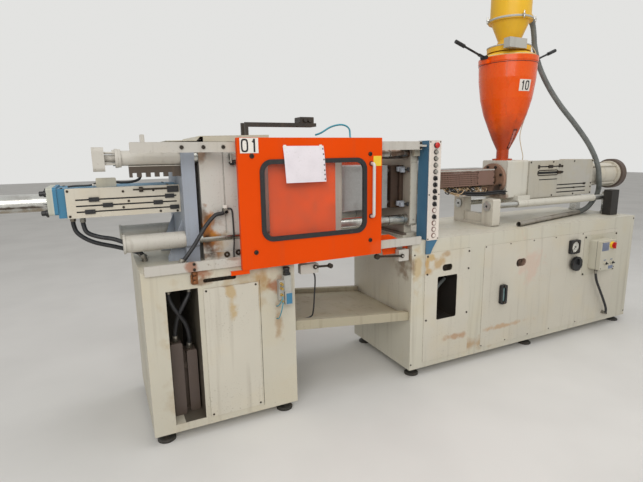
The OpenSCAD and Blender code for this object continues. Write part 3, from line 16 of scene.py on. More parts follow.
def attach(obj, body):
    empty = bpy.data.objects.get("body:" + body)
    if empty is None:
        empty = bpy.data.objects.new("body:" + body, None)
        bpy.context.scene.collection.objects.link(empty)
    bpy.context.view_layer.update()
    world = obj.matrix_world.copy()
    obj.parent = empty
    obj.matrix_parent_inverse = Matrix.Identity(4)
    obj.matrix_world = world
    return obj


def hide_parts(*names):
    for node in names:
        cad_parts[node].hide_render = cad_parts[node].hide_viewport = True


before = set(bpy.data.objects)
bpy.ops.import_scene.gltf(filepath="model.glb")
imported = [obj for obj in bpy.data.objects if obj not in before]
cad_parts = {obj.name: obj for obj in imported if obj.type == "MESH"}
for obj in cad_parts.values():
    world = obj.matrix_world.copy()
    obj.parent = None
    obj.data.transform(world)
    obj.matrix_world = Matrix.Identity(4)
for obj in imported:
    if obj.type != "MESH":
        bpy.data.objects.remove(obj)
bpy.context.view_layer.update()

# %% [markdown]
# ## Machine drawing to metres
# The drawing of the machine is in millimetres, with X from the left end of
# the bed, Y from the front sheet and Z from the floor. Blender works in metres
# from the middle of the whole machine. One small function turns one into the
# other, so every piece below can be placed by the numbers of the drawing. The
# barrel's axis is named too, because hopper and flanges stand round it.

# %% Places on the drawing
middle_x, middle_y = 1848.5, 314
axis_y, axis_z = 385, 1336


def spot(x, y, z):
    """A place of the drawing, in millimetres, as a place in Blender, in metres."""
    return Vector(((x - middle_x) / 1000, (y - middle_y) / 1000, z / 1000))


print("front left corner of the bed:", tuple(round(v, 3) for v in spot(0, 0, 985)))

# %% [markdown]
# ## Camera
# A portrait matches its subject only if the camera stands where the
# photographer stood. The direction is built from three turns: yaw to the
# right, pitch down, and a slight roll. The three columns of the camera's
# matrix are its right hand, its head and its back.

# %% Camera
yaw, pitch, roll = (math.radians(a) for a in (25.668, 11.003, -0.846))
stand, focal_length, film_width, far_limit = (-1.9815, -2.714, 1.572), 25.406, 36, 100
ahead = Vector((math.sin(yaw) * math.cos(pitch), math.cos(yaw) * math.cos(pitch), -math.sin(pitch)))
right_hand = Vector((math.cos(yaw), -math.sin(yaw), 0))
head = right_hand.cross(ahead)
right_hand, head = (right_hand * math.cos(roll) + head * math.sin(roll),
                    head * math.cos(roll) - right_hand * math.sin(roll))
lens = bpy.data.cameras.new("portrait lens")
lens.lens, lens.sensor_width, lens.clip_end = focal_length, film_width, far_limit
camera = bpy.data.objects.new("portrait camera", lens)
bpy.context.scene.collection.objects.link(camera)
camera.matrix_world = Matrix((right_hand, head, -ahead)).transposed().to_4x4()
camera.matrix_world.translation = stand
bpy.context.scene.camera = camera
bpy.context.scene.view_settings.view_transform = "Standard"
print("camera looks", tuple(round(v, 3) for v in ahead))

# %% [markdown]
# ## How a finish is mixed
# A worn paint is never one colour. We start from the colour in the tin and lay
# masks over it: a slow drift, grime that runs down, dirt and painted shade in
# corners, chips on edges, boxes with a tone of their own or with painted shade
# in a hollow, and stains at known places. Each layer is a method of one small
# class, so that a finish reads like a list of what happened to the surface. The
# masks read the piece's own coordinates, so stains travel with the piece.

# %% A screen colour
def tone(red, green, blue):
    """A screen colour from 0 to 255 as the linear colour that shaders use."""
    return tuple((c / 255 / 12.92) if c <= 10 else ((c / 255 + 0.055) / 1.055) ** 2.4
                 for c in (red, green, blue))


print("a cream of the bed in linear light:", [round(c, 3) for c in tone(206, 201, 186)])

# %% The class that mixes a finish
class Finish:
    """One material, built up layer by layer on Blender's standard shader."""

    def __init__(self, name, colour, rough, fixed=None):
        self.made = bpy.data.materials.new(name)
        self.made.use_nodes = True
        self.tree = self.made.node_tree
        self.shader = self.tree.nodes["Principled BSDF"]
        for word, value in (fixed or {}).items():
            self.shader.inputs[word].default_value = value
        self.place = self.add("ShaderNodeTexCoord").outputs["Object"]
        self.colour, self.rough, self.height = (*colour, 1), rough, None

    def add(self, kind, links=None, **settings):
        """A shader node whose inputs are linked or set."""
        node = self.tree.nodes.new(kind)
        for word, value in settings.items():
            setattr(node, word, value)
        for socket, value in (links or {}).items():
            if isinstance(value, bpy.types.NodeSocket):
                self.tree.links.new(value, node.inputs[socket])
            else:
                node.inputs[socket].default_value = value
        return node

    def reckon(self, kind, how, *values, out=0):
        """Arithmetic on masks ("Math") or on places ("VectorMath")."""
        return self.add("ShaderNode" + kind, dict(enumerate(values)), operation=how).outputs[out]

    def noise(self, size, detail=4, stretch=(1, 1, 1)):
        """Cloudy noise whose patches are about size millimetres across."""
        place = self.reckon("VectorMath", "MULTIPLY", self.place, stretch)
        return self.add("ShaderNodeTexNoise", {"Vector": place, "Scale": 1000 / size, "Detail": detail}).outputs[0]

    def between(self, value, low, high, top=1.0):
        """A mask that is 0 where value is low and top where it is high."""
        return self.add("ShaderNodeMapRange", {0: value, 1: low, 2: high, 3: 0.0, 4: top}).outputs[0]

    def cloud(self, size, detail, low, high, top=1.0, stretch=(1, 1, 1)):
        """A cloudy mask with patches of about size millimetres."""
        return self.between(self.noise(size, detail, stretch), low, high, top)

    def both(self, one, other):
        """A mask where two masks meet."""
        return self.reckon("Math", "MULTIPLY", one, other)

    def near(self, centre, reach, ragged=0.5, size=60, top=1.0):
        """A ragged mask round a place of the drawing, reach millimetres along each axis."""
        away = self.reckon("VectorMath", "SUBTRACT", self.place, spot(*centre))
        away = self.reckon("VectorMath", "DIVIDE", away, [r / 1000 for r in reach])
        away = self.reckon("VectorMath", "LENGTH", away, out="Value")
        away = self.reckon("Math", "ADD", away, self.cloud(size, 5, 0.3, 0.7, 2 * ragged))
        return self.between(away, 1.0 + ragged, 0.35 + ragged, top)

    def inside(self, x, y, z, top=1.0):
        """A sharp mask between two X, two Y and two Z values of the drawing."""
        low, high = spot(x[0], y[0], z[0]), spot(x[1], y[1], z[1])
        away = self.reckon("VectorMath", "SUBTRACT", self.place, (low + high) / 2)
        away = self.reckon("VectorMath", "ABSOLUTE", away)
        away = self.reckon("VectorMath", "DIVIDE", away, (high - low) / 2)
        parts = self.add("ShaderNodeSeparateXYZ", {0: away}).outputs
        most = self.reckon("Math", "MAXIMUM", parts[0], parts[1])
        most = self.reckon("Math", "MAXIMUM", most, parts[2])
        return self.between(most, 1.001, 0.999, top)

    def edges(self, width):
        """A mask on the outer edges, from how far a rounded normal leans."""
        soft = self.add("ShaderNodeBevel", {"Radius": width / 1000}, samples=4).outputs[0]
        true = self.add("ShaderNodeNewGeometry").outputs["Normal"]
        lean = self.reckon("VectorMath", "DOT_PRODUCT", soft, true, out="Value")
        return self.between(lean, 0.97, 0.80)

    def corners(self, reach):
        """A mask from ambient occlusion where the surface is shut in: painted shade in corners, where dirt also
        collects.
        """
        open_sky = self.add("ShaderNodeAmbientOcclusion", {"Distance": reach / 1000}, samples=4).outputs["AO"]
        return self.between(open_sky, 0.80, 0.30)

    def over(self, colour, where):
        """Lays a colour over the finish where the mask is."""
        mix = self.add("ShaderNodeMix", {0: where, 6: self.colour, 7: (*colour, 1)}, data_type="RGBA")
        self.colour = mix.outputs[2]
        return self

    def dull(self, rough, where):
        """Makes the finish rougher where the mask is."""
        self.rough = self.add("ShaderNodeMix", {0: where, 2: self.rough, 3: rough}).outputs[0]
        return self

    def raise_by(self, height, depth):
        """Bump of depth millimetres from a mask."""
        bump = self.add("ShaderNodeBump", {"Height": height, "Distance": depth / 1000, "Strength": 1.0})
        if self.height is not None:
            self.tree.links.new(self.height, bump.inputs["Normal"])
        self.height = bump.outputs[0]
        return self

    def done(self):
        """Connects colour, roughness and bump, and gives the material."""
        for word, value in (("Base Color", self.colour), ("Roughness", self.rough)):
            if isinstance(value, bpy.types.NodeSocket):
                self.tree.links.new(value, self.shader.inputs[word])
            else:
                self.shader.inputs[word].default_value = value
        if self.height is not None:
            self.tree.links.new(self.height, self.shader.inputs["Normal"])
        return self.made


print("layers of a finish:", [word for word in vars(Finish) if not word.startswith("_")])

# %% [markdown]
# ## Sprayed paint that has worked for decades
# Nearly every sheet on the machine is sprayed steel. Fresh, it has a fine
# orange peel. Later it yellows in clouds, oil runs down it, corners go dark
# brown with dirt and painted shade, and edges chip down to dark steel. One recipe
# makes all paints, and a list of stains says where oil, rust or spilled colour
# sits on that piece.

# %% Paint recipe
grime_and_shade = tone(112, 96, 76)
bare_edge = tone(96, 88, 80)


def paint(name, colour, rough=0.42, dirt=0.5, chips=0.55, tinted_places=(), tone_and_shade_boxes=(), shine=0.4):
    """Sprayed steel: clouds, boxes of own tone or of painted shade, runs, dirt and painted shade in corners, chipped
    edges and stains.
    """
    f = Finish(name, colour, rough, {"Specular IOR Level": shine})
    yellowed = [c * r for c, r in zip(colour, (1.0, 0.93, 0.80))]
    f.over([c * 0.86 for c in colour], f.cloud(700, 4, 0.38, 0.72, 0.8))
    f.over(yellowed, f.cloud(260, 5, 0.50, 0.74, 0.5))
    for x, y, z, tint, top in tone_and_shade_boxes:
        f.over(tone(*tint), f.inside(x, y, z, top))
    runs = f.cloud(38, 4, 0.56, 0.82, 0.55 * dirt, (1, 1, 0.05))
    f.over(grime_and_shade, runs)
    f.over(grime_and_shade, f.both(f.cloud(9, 4, 0.62, 0.72, dirt), f.cloud(320, 3, 0.45, 0.65)))
    # Dark dirt and painted shade in the corners that ambient occlusion finds.
    shade_and_dirt_in_corners = f.both(f.corners(70), f.cloud(120, 4, 0.2, 0.7, min(1.0, 1.3 * dirt)))
    f.over([c * 0.45 for c in grime_and_shade], shade_and_dirt_in_corners)
    f.over(bare_edge, f.both(f.edges(4), f.cloud(22, 5, 0.50, 0.60, chips)))
    for centre, reach, tint, top in tinted_places:
        f.over(tone(*tint), f.near(centre, reach, top=top))
    f.dull(rough + 0.22, f.cloud(150, 4, 0.4, 0.75))
    f.raise_by(f.noise(3.0, 2), 0.05)
    return f.done()


def steel(name, colour, rough=0.32, oil=0.4, grain=(1, 1, 1), metallic=0.9, tinted_places=()):
    """Turned or ground steel: fine tool marks, darker clouds, a film of oil and painted shade with dirt in corners.
    """
    f = Finish(name, colour, rough, {"Metallic": metallic})
    f.over([c * 0.62 for c in colour], f.cloud(5, 5, 0.35, 0.75, 0.6, grain))
    f.over(tone(92, 70, 44), f.cloud(90, 5, 0.52, 0.75, oil))
    # Dark painted shade with some dirt in the corners that ambient occlusion finds.
    f.over(tone(40, 34, 28), f.both(f.corners(30), f.cloud(50, 3, 0.2, 0.6, 0.9)))
    for centre, reach, tint, top in tinted_places:
        f.over(tone(*tint), f.near(centre, reach, top=top))
    f.dull(rough + 0.28, f.cloud(40, 4, 0.4, 0.7, stretch=grain))
    f.raise_by(f.noise(2.0, 3, grain), 0.04)
    return f.done()


def plain(name, colour, rough=0.5, shade=0.75, size=12, bump=0.05, fixed=None):
    """Rubber, plastic and printed card: a quiet colour with dust and small marks."""
    f = Finish(name, colour, rough, fixed)
    f.over([c * shade for c in colour], f.cloud(size * 6, 4, 0.4, 0.7))
    f.over(tone(132, 124, 110), f.both(f.cloud(size, 5, 0.60, 0.74, 0.30), f.cloud(90, 2, 0.4, 0.6)))
    f.dull(min(1.0, rough + 0.18), f.cloud(size * 2, 4, 0.4, 0.7))
    f.raise_by(f.noise(size / 6, 3), bump)
    return f.done()


print("recipes: paint, steel, plain")

# %% [markdown]
# ## The finishes of this machine
# The beds and covers are cream, the gate a strong orange, the control column
# blue-green, the end plate blue-grey. A stain is a place of the drawing, its
# reach along the three axes, a screen colour and a strength. The worst is the
# brown oil that weeps out at the foot of the clamp housing.

# %% Paints
rust, oil_tan, pink = (150, 84, 42), (176, 150, 104), (214, 176, 158)
# The dark box inside the left bed is painted shade in its hollow.
bed_left_paint = paint("bed paint left", tone(203, 198, 182), tone_and_shade_boxes=[
    ((168, 978), (3.5, 756), (100, 960), (92, 86, 76), 1.0)], tinted_places=[
    ((560, 0, 800), (150, 60, 160), oil_tan, 0.55), ((300, 0, 960), (60, 60, 45), rust, 0.8),
    ((640, 0, 900), (36, 40, 120), (168, 128, 70), 0.6), ((180, 0, 640), (110, 60, 260), oil_tan, 0.35),
    ((250, 60, 985), (130, 110, 30), (92, 78, 62), 0.8), ((724, 0, 824), (46, 60, 60), rust, 0.75),
    ((734, 0, 620), (30, 60, 200), (158, 124, 84), 0.6), ((300, 0, 900), (70, 60, 22), (120, 84, 52), 0.7),
    ((147, 0, 253), (90, 60, 160), (166, 144, 110), 0.4)])
# The dark box inside the right bed is painted shade in the cavity behind the port.
bed_right_paint = paint("bed paint right", tone(206, 202, 187), tone_and_shade_boxes=[
    ((1712, 4115), (3.5, 756), (120, 982), (52, 48, 44), 1.0)], tinted_places=[
    ((1735, 0, 800), (60, 60, 190), (190, 160, 100), 0.6), ((1890, 0, 822), (26, 30, 70), (190, 152, 92), 0.6),
    ((2790, 0, 720), (230, 60, 200), pink, 0.45), ((2620, 0, 140), (700, 60, 30), (176, 138, 92), 0.55),
    ((1700, 20, 810), (26, 240, 110), (124, 98, 70), 0.7), ((3350, 0, 560), (120, 60, 330), (186, 172, 132), 0.4),
    ((2320, 0, 150), (420, 60, 60), (170, 136, 96), 0.35)])
cover_paint = paint("cover panel paint", tone(208, 203, 189), tinted_places=[
    ((459, -3, 790), (30, 30, 170), (186, 158, 108), 0.75), ((690, -3, 850), (34, 30, 40), rust, 0.7),
    ((500, -3, 868), (220, 30, 12), (120, 88, 60), 0.6), ((690, -3, 560), (20, 30, 170), (176, 142, 96), 0.5),
    ((1850, -3, 855), (46, 30, 30), (196, 166, 112), 0.85), ((1815, -3, 812), (26, 30, 40), (190, 152, 92), 0.85),
    ((1822, -3, 760), (34, 30, 28), (188, 150, 92), 0.8), ((2830, -3, 690), (150, 30, 150), pink, 0.4),
    ((2100, -3, 240), (120, 30, 26), (172, 122, 74), 0.6), ((2560, -3, 232), (300, 30, 22), (184, 140, 92), 0.6),
    ((1925, -3, 815), (66, 30, 62), (186, 150, 96), 0.7), ((1990, -3, 868), (40, 30, 30), (170, 132, 84), 0.6)])
tray_paint = paint("tray paint", tone(176, 168, 146), 0.55, dirt=0.9)
rail_paint = paint("rail paint", tone(196, 192, 184), 0.45, dirt=0.6, chips=0.7, tinted_places=[
    ((250, -14, 990), (40, 30, 40), rust, 0.7), ((470, -14, 1010), (60, 30, 14), (120, 84, 60), 0.6)])
housing_paint = paint("housing paint", tone(208, 206, 199), dirt=0.45, tinted_places=[
    ((372, 120, 1120), (92, 60, 150), (140, 92, 44), 0.95), ((384, 120, 1180), (44, 60, 110), (198, 122, 42), 0.85),
    ((392, 120, 1040), (26, 60, 110), (64, 44, 30), 0.9), ((360, 120, 1240), (34, 60, 60), (84, 64, 46), 0.7),
    ((366, 120, 1590), (38, 70, 70), (128, 92, 58), 0.75), ((470, 120, 1080), (60, 40, 60), (196, 176, 140), 0.5),
    ((384, 120, 1108), (62, 60, 84), (158, 98, 38), 1.0), ((374, 120, 1062), (30, 60, 80), (58, 40, 28), 0.9),
    ((420, 120, 1140), (30, 60, 40), (206, 140, 60), 0.7)])
end_plate_paint = paint("end plate paint", tone(160, 168, 180), dirt=0.45)
top_cover_paint = paint("top cover paint", tone(204, 198, 180), dirt=0.7, tone_and_shade_boxes=[
    ((400, 1700), (0, 800), (1677.5, 1800), (58, 53, 48), 1.0)])
platen_paint = paint("platen paint", tone(204, 200, 188), dirt=0.6, tone_and_shade_boxes=[
    ((1500, 1749), (0, 800), (1000, 1700), (82, 66, 56), 0.9)])
gate_paint = paint("gate orange paint", tone(234, 76, 0), 0.38, dirt=0.18, chips=0.35, shine=0.12, tinted_places=[
    ((1380, -45, 980), (60, 20, 60), (200, 130, 90), 0.12)])
guard_red = paint("inner guard paint", tone(246, 84, 8), 0.5, dirt=0.35, shine=0.15)
column_paint = paint("column blue paint", tone(66, 114, 146), 0.4, dirt=0.35, chips=0.8)
face_paint = paint("control face paint", tone(232, 223, 214), dirt=0.35)
injection_paint = paint("injection body paint", tone(212, 207, 194), dirt=0.5)
injection_cover_paint = paint("injection cover paint", tone(188, 184, 172), dirt=0.5, tinted_places=[
    ((3680, 240, 1330), (160, 20, 150), (186, 184, 180), 0.5)])
feed_paint = paint("feed block paint", tone(212, 209, 198), dirt=0.45, tinted_places=[
    ((2790, 250, 1200), (50, 200, 60), (120, 84, 60), 0.7), ((2772, 308, 1262), (40, 64, 60), (50, 38, 30), 0.9)],
    tone_and_shade_boxes=[((2760, 2796.4), (0, 800), (1100, 1700), (134, 88, 60), 0.85)])
stroke_paint = paint("stroke plate paint", tone(208, 202, 188), dirt=0.4)
stroke_box_paint = paint("stroke box blue", tone(64, 126, 160), dirt=0.5, tone_and_shade_boxes=[
    ((-500, -358), (0, 800), (1000, 1600), (188, 190, 178), 1.0)])
box_paint = paint("isolator box paint", tone(200, 196, 180), dirt=0.3, chips=0.3, tone_and_shade_boxes=[
    ((3930, 4060), (90, 210), (975, 1220), (44, 42, 40), 1.0)])
guard_brown = paint("barrel guard paint", tone(130, 102, 91), 0.6, dirt=0.7, tinted_places=[
    ((2300, 300, 1424), (420, 60, 12), (222, 216, 204), 0.7)])
motor_paint = paint("motor paint", tone(96, 84, 78), 0.5, dirt=0.9)
print("paints:", len(bpy.data.materials))

# %% [markdown]
# ## Steel, rubber, plastic and glass
# Bars and rods are ground steel under a film of oil. Hoses, knobs and collars
# are rubber or plastic that has gone matt. One recipe for all of them would
# make the rubber shine like steel, so each kind has its own. The hopper lets
# light in under its skin, as coloured plastic does, and the pane is nearly
# clear.

# %% Steel, rubber, plastic and glass
bar_steel = steel("tie bar steel", tone(206, 206, 200), 0.22, oil=0.45, grain=(0.15, 1, 1), metallic=1.0, tinted_places=[
    ((1640, 200, 1552), (260, 240, 80), (104, 78, 60), 0.9)])
cylinder_steel = paint("travel cylinder paint", tone(200, 196, 187), 0.36, dirt=0.7, tone_and_shade_boxes=[
    ((-20, 262), (0, 400), (1440, 1516), (66, 52, 40), 0.95)])
dark_tube = steel("lower cylinder steel", tone(160, 156, 146), 0.34, oil=0.7, grain=(0.2, 1, 1))
dark_mould = steel("browned mould steel", tone(84, 68, 58), 0.45, oil=0.7, metallic=0.5)
mould_steel = steel("ground mould steel", tone(190, 190, 188), 0.3, oil=0.3, metallic=0.85)
ejector_steel = steel("ejector steel", tone(168, 166, 160), 0.36)
barrel_steel = steel("heated barrel steel", tone(150, 128, 108), 0.42, oil=0.7)
dark_bolt = steel("black bolt steel", tone(74, 68, 62), 0.42, oil=0.5)
foot_iron = steel("levelling foot iron", tone(82, 80, 76), 0.6, oil=0.6, metallic=0.6)
# The two bands below the rod's axis are a painted reflection on chrome: a dark line, and the pale floor under it.
bright_rod = steel("bright rod steel", tone(208, 208, 204), 0.2, oil=0.3, grain=(0.2, 1, 1), metallic=1.0, tinted_places=[
    ((-560, 330, 1318), (260, 80, 10), (62, 46, 32), 0.9), ((-560, 340, 1292), (260, 80, 22), (150, 132, 104), 0.7)])
lance_metal = steel("lance tube metal", tone(172, 166, 156), 0.42, oil=0.5, grain=(0.2, 1, 1), metallic=0.7)
silk_wire = steel("glass silk wire", tone(210, 180, 142), 0.5, oil=0.3, metallic=0.3)
brass = steel("brass fitting", tone(200, 168, 96), 0.3, oil=0.3)
black_rubber = plain("black rubber", tone(34, 34, 35), 0.55)
cable_skin = plain("black cable skin", tone(40, 40, 42), 0.45)
hose_skin = plain("grey suction hose", tone(118, 122, 120), 0.5, shade=0.7, size=10)
pale_wire = plain("pale wire skin", tone(206, 190, 160), 0.5)
teal_wire = plain("blue air tube", tone(60, 150, 170), 0.4)
black_plastic = plain("black plastic", tone(30, 30, 32), 0.35)
grey_plastic = plain("grey plastic", tone(176, 176, 170), 0.5)
handle_plastic = plain("pale handle", tone(214, 212, 208), 0.3, shade=0.9)
dark_red = plain("dark red foot", tone(96, 30, 24), 0.4)
red_plastic = plain("red plastic", tone(200, 34, 26), 0.32, shade=0.85)
yellow_plastic = plain("yellow plastic", tone(238, 196, 40), 0.4, shade=0.9)
white_card = plain("white card", tone(232, 228, 220), 0.6, shade=0.93)
paper = plain("paper sheet", tone(232, 226, 232), 0.8, shade=0.92, bump=0.12)
yellow_card = plain("yellow card", tone(240, 206, 60), 0.5, shade=0.92)
# Black for print, and painted shade at the bottoms of slots and in sockets.
black_print_and_shade = plain("black print and painted shade", tone(24, 24, 26), 0.5)
gauge_face = plain("gauge face", tone(226, 224, 214), 0.4, shade=0.95)
lamp_lens = plain("lamp lens", tone(150, 148, 140), 0.18, fixed={"Coat Weight": 0.6})
loader_yellow = paint("loader yellow paint", tone(244, 192, 46), 0.36, dirt=0.25, chips=0.2)
loader_grey = paint("loader grey paint", tone(190, 190, 184), 0.45, dirt=0.4)

shell = Finish("orange hopper plastic", tone(238, 88, 6), 0.24, {
    "Coat Weight": 0.18, "Specular IOR Level": 0.3, "Subsurface Weight": 0.15,
    "Subsurface Radius": (0.03, 0.01, 0.004)})
shell.over(tone(150, 56, 26), shell.near((2875, 385, 1640), (300, 300, 300), ragged=0.4, size=160, top=0.75))
shell.over(tone(240, 106, 24), shell.cloud(240, 4, 0.5, 0.75, 0.5))
shell.over(tone(120, 60, 40), shell.cloud(30, 5, 0.6, 0.8, 0.35, (1, 1, 0.1)))
shell.dull(0.4, shell.cloud(60, 4, 0.4, 0.7))
shell.raise_by(shell.noise(25, 2), 0.2)
hopper_shell = shell.done()

pane = Finish("clear window pane", tone(190, 190, 188), 0.05, {"Alpha": 0.035, "Specular IOR Level": 0.6})
pane.dull(0.16, pane.cloud(160, 5, 0.52, 0.74))
clear_pane = pane.done()
print("finishes:", len(bpy.data.materials))

# %% [markdown]
# ## Dressing the CAD nodes
# A CAD node whose shape is right keeps it, and only its material slots change.
# The table below is read like a paint shop's list: one finish, then the pieces
# that get it.

# %% Finishes onto the nodes
paint_list = {
    bed_left_paint: ["base_left"], bed_right_paint: ["base_right"], cover_paint: ["cover_panels"],
    tray_paint: ["base_tray"], rail_paint: ["gate_rails", "gate_switches"], housing_paint: ["clamp_housing"],
    end_plate_paint: ["rear_plate"], top_cover_paint: ["top_cover"], platen_paint: ["fixed_platen", "moving_platen"],
    gate_paint: ["gate_panel"], guard_red: ["fixed_guards"], column_paint: ["control_column"],
    face_paint: ["control_plate"], injection_paint: ["injection_unit", "rod_saddle"],
    injection_cover_paint: ["injection_cover"], feed_paint: ["feed_block"], stroke_paint: ["stroke_plate"],
    stroke_box_paint: ["stroke_box"], box_paint: ["isolator_box", "junction_boxes"], guard_brown: ["barrel_guard"],
    motor_paint: ["drive_motor", "pump_unit"], bar_steel: ["tie_bars"], cylinder_steel: ["travel_cylinders"],
    dark_mould: ["mould_fixed_half"], mould_steel: ["mould_moving_half"], ejector_steel: ["ejector_plate"],
    barrel_steel: ["barrel", "screw"], dark_bolt: ["machine_bolts", "switch_lever_left", "switch_lever_right"],
    foot_iron: ["levelling_feet"], bright_rod: ["guide_rods", "ram"], lance_metal: ["suction_lance"],
    black_rubber: ["gate_gasket"], cable_skin: ["fixed_hoses"], handle_plastic: ["gate_handle"],
    clear_pane: ["gate_window"], hopper_shell: ["hopper"], loader_yellow: ["loader"], grey_plastic: ["valve_unit"],
    black_plastic: ["oil_gauges", "pressure_knob", "hopper_clamp_left", "hopper_clamp_right"]
    + ["selector_%d" % i for i in range(1, 7)],
    red_plastic: ["stop_button", "isolator_knob"], hose_skin: ["suction_hose"]}
dressed = 0
for finish, nodes in paint_list.items():
    for node in nodes:
        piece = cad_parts[node]
        piece.data.materials.clear()
        piece.data.materials.append(finish)
        dressed += 1
print("nodes dressed:", dressed, "of", len(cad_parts))

# %% [markdown]
# ## Saw and lathe
# All new pieces are built as meshes from a few moves that a workshop knows. A
# block is sawn, a round part is turned on a lathe from its profile, and small
# patches are welded at their corners. Blender's own cylinders would do for a
# plain disc, but a profile gives a knob its shoulder and its groove in one go.

# %% Saw and lathe
def block(mesh, x, y, z):
    """A sawn block between two X, two Y and two Z values of the drawing."""
    low, high = spot(x[0], y[0], z[0]), spot(x[1], y[1], z[1])
    shape = Matrix.Translation((low + high) / 2) @ Matrix.Diagonal((*(high - low), 1))
    bmesh.ops.create_cube(mesh, size=1, matrix=shape)


def turned(mesh, base, along, profile, sides=20):
    """A lathe part: profile holds (radius, distance along the axis) in millimetres."""
    base, along = Vector(base), Vector(along).normalized()
    side = along.orthogonal().normalized()
    other = along.cross(side)
    rings = []
    for radius, reach in profile:
        middle = base + along * (reach / 1000)
        count = sides if radius > 0 else 1
        rings.append([mesh.verts.new(middle + (side * math.cos(a) + other * math.sin(a)) * (radius / 1000))
                      for a in (2 * math.pi * i / sides for i in range(count))])
    for lower, upper in zip(rings, rings[1:]):
        for i in range(sides if len(lower) + len(upper) > 2 else 0):
            j = (i + 1) % sides
            corners = [lower[i % len(lower)], lower[j % len(lower)], upper[j % len(upper)], upper[i % len(upper)]]
            mesh.faces.new(list(dict.fromkeys(corners)))


def weld(mesh, faces):
    """Joins corners that lie on each other, always in the order of the faces."""
    corners = dict.fromkeys(corner for face in faces for corner in face.verts)
    bmesh.ops.remove_doubles(mesh, verts=list(corners), dist=1e-6)


print("moves: block, turned, weld")

# %% [markdown]
# ## Tubes along a smooth line
# A cable is a tube along a line that runs smoothly through its points. A curve
# with a round bevel could do it too. A mesh is chosen because it has one ring
# of corners for each point, so the ribs of the suction hose come out sharp.

# %% Smooth lines and tubes
def smooth_line(points, steps=4):
    """A smooth line through the points, with steps pieces between each two."""
    points = [Vector(p) for p in points]
    ends = [2 * points[0] - points[1]] + points + [2 * points[-1] - points[-2]]
    line = []
    for a, b, c, d in zip(ends, ends[1:], ends[2:], ends[3:]):
        for k in range(steps):
            t = k / steps
            line.append(0.5 * (2 * b + (c - a) * t + (2 * a - 5 * b + 4 * c - d) * t * t
                               + (3 * b - a - 3 * c + d) * t ** 3))
    return line + [points[-1]]


def drawn(mesh, line, radii, sides=10):
    """A tube along a line; radii is one radius or one for each point, in millimetres."""
    count = len(line)
    radii = radii if hasattr(radii, "__len__") else [radii] * count
    across = (line[1] - line[0]).orthogonal().normalized()
    rings = []
    for i, middle in enumerate(line):
        forward = (line[min(i + 1, count - 1)] - line[max(i - 1, 0)]).normalized()
        across = (across - forward * across.dot(forward)).normalized()
        other = forward.cross(across)
        rings.append([mesh.verts.new(middle + (across * math.cos(a) + other * math.sin(a)) * (radii[i] / 1000))
                      for a in (2 * math.pi * k / sides for k in range(sides))])
    for lower, upper in zip(rings, rings[1:]):
        for k in range(sides):
            mesh.faces.new((lower[k], lower[(k + 1) % sides], upper[(k + 1) % sides], upper[k]))
    mesh.faces.new(list(reversed(rings[0])))
    mesh.faces.new(rings[-1])


def cable(mesh, points, radius, sides=8, steps=6):
    """A smooth tube through places of the drawing."""
    drawn(mesh, smooth_line([spot(*p) for p in points], steps), radius, sides)


print("moves: smooth_line, drawn, cable")

# %% [markdown]
# ## Onto the machine
# A mesh becomes a piece when it has a finish, a name and a body that carries
# it. A real edge is never sharp, so its edges are rounded a little. Screws are
# the commonest part of all, so they get a move of their own.

# %% Pieces and screws
def finished(name, mesh, finish, body, rounded=0.0, sharp=38):
    """Puts a mesh on the machine as a piece that rides on a body."""
    bmesh.ops.recalc_face_normals(mesh, faces=mesh.faces)
    data = bpy.data.meshes.new(name)
    mesh.to_mesh(data)
    mesh.free()
    data.materials.append(finish)
    data.polygons.foreach_set("use_smooth", [True] * len(data.polygons))
    data.set_sharp_from_angle(angle=math.radians(sharp))
    piece = bpy.data.objects.new(name, data)
    bpy.context.scene.collection.objects.link(piece)
    if rounded:
        soft = piece.modifiers.new("rounded edges", "BEVEL")
        soft.width, soft.segments, soft.limit_method = rounded / 1000, 2, "ANGLE"
    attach(piece, body)
    print(f"{name}: {len(data.polygons)} faces on {body}")
    return piece


def pan_head(mesh, place, along, radius, high, sides=16):
    """A round screw head with a socket in the middle."""
    turned(mesh, place, along, [(0, 0), (radius, 0), (radius, high * 0.55), (radius * 0.86, high * 0.9),
                                (radius * 0.5, high), (radius * 0.42, high * 0.45), (0, high * 0.45)], sides)


def front_screws(mesh, y, radius, high, sides, places):
    """Screw heads at (X, Z) places on a sheet that faces the operator at depth y."""
    for x, z in places:
        pan_head(mesh, spot(x, y, z), front, radius, high, sides)


front, right, up = Vector((0, -1, 0)), Vector((1, 0, 0)), Vector((0, 0, 1))
print("moves: finished, pan_head, front_screws")

# %% [markdown]
# ## The suction hose
# A ribbed hose sucks pellets up to the loader. It leaves the loader's inlet,
# hangs down behind the injection unit and turns under it to the lance on the
# bed. The ribs are real rings in the mesh: the tube's radius goes up and down
# along the line. The route is the one of the CAD solid, so it hangs the same.

# %% Suction hose
hose_route = [
    (1.2115, 0.071, 2.6), (1.2665, 0.088, 2.6), (1.3235, 0.111, 2.57), (1.3565, 0.121, 2.5), (1.3795, 0.124, 2.41),
    (1.4395, 0.116, 2.262), (1.5305, 0.086, 2.101), (1.6465, 0.046, 1.946), (1.7915, 0.006, 1.796),
    (1.9275, -0.034, 1.641), (2.0115, -0.062, 1.511), (2.0635, -0.074, 1.4), (2.1035, -0.064, 1.31),
    (2.1455, -0.044, 1.254), (2.1815, -0.02, 1.206), (2.1875, -0.004, 1.15), (2.1635, 0.01, 1.096),
    (2.1175, 0.016, 1.046), (2.0565, 0.012, 1.02), (1.9915, -0.001, 1.012), (1.9315, -0.014, 1.0086)]


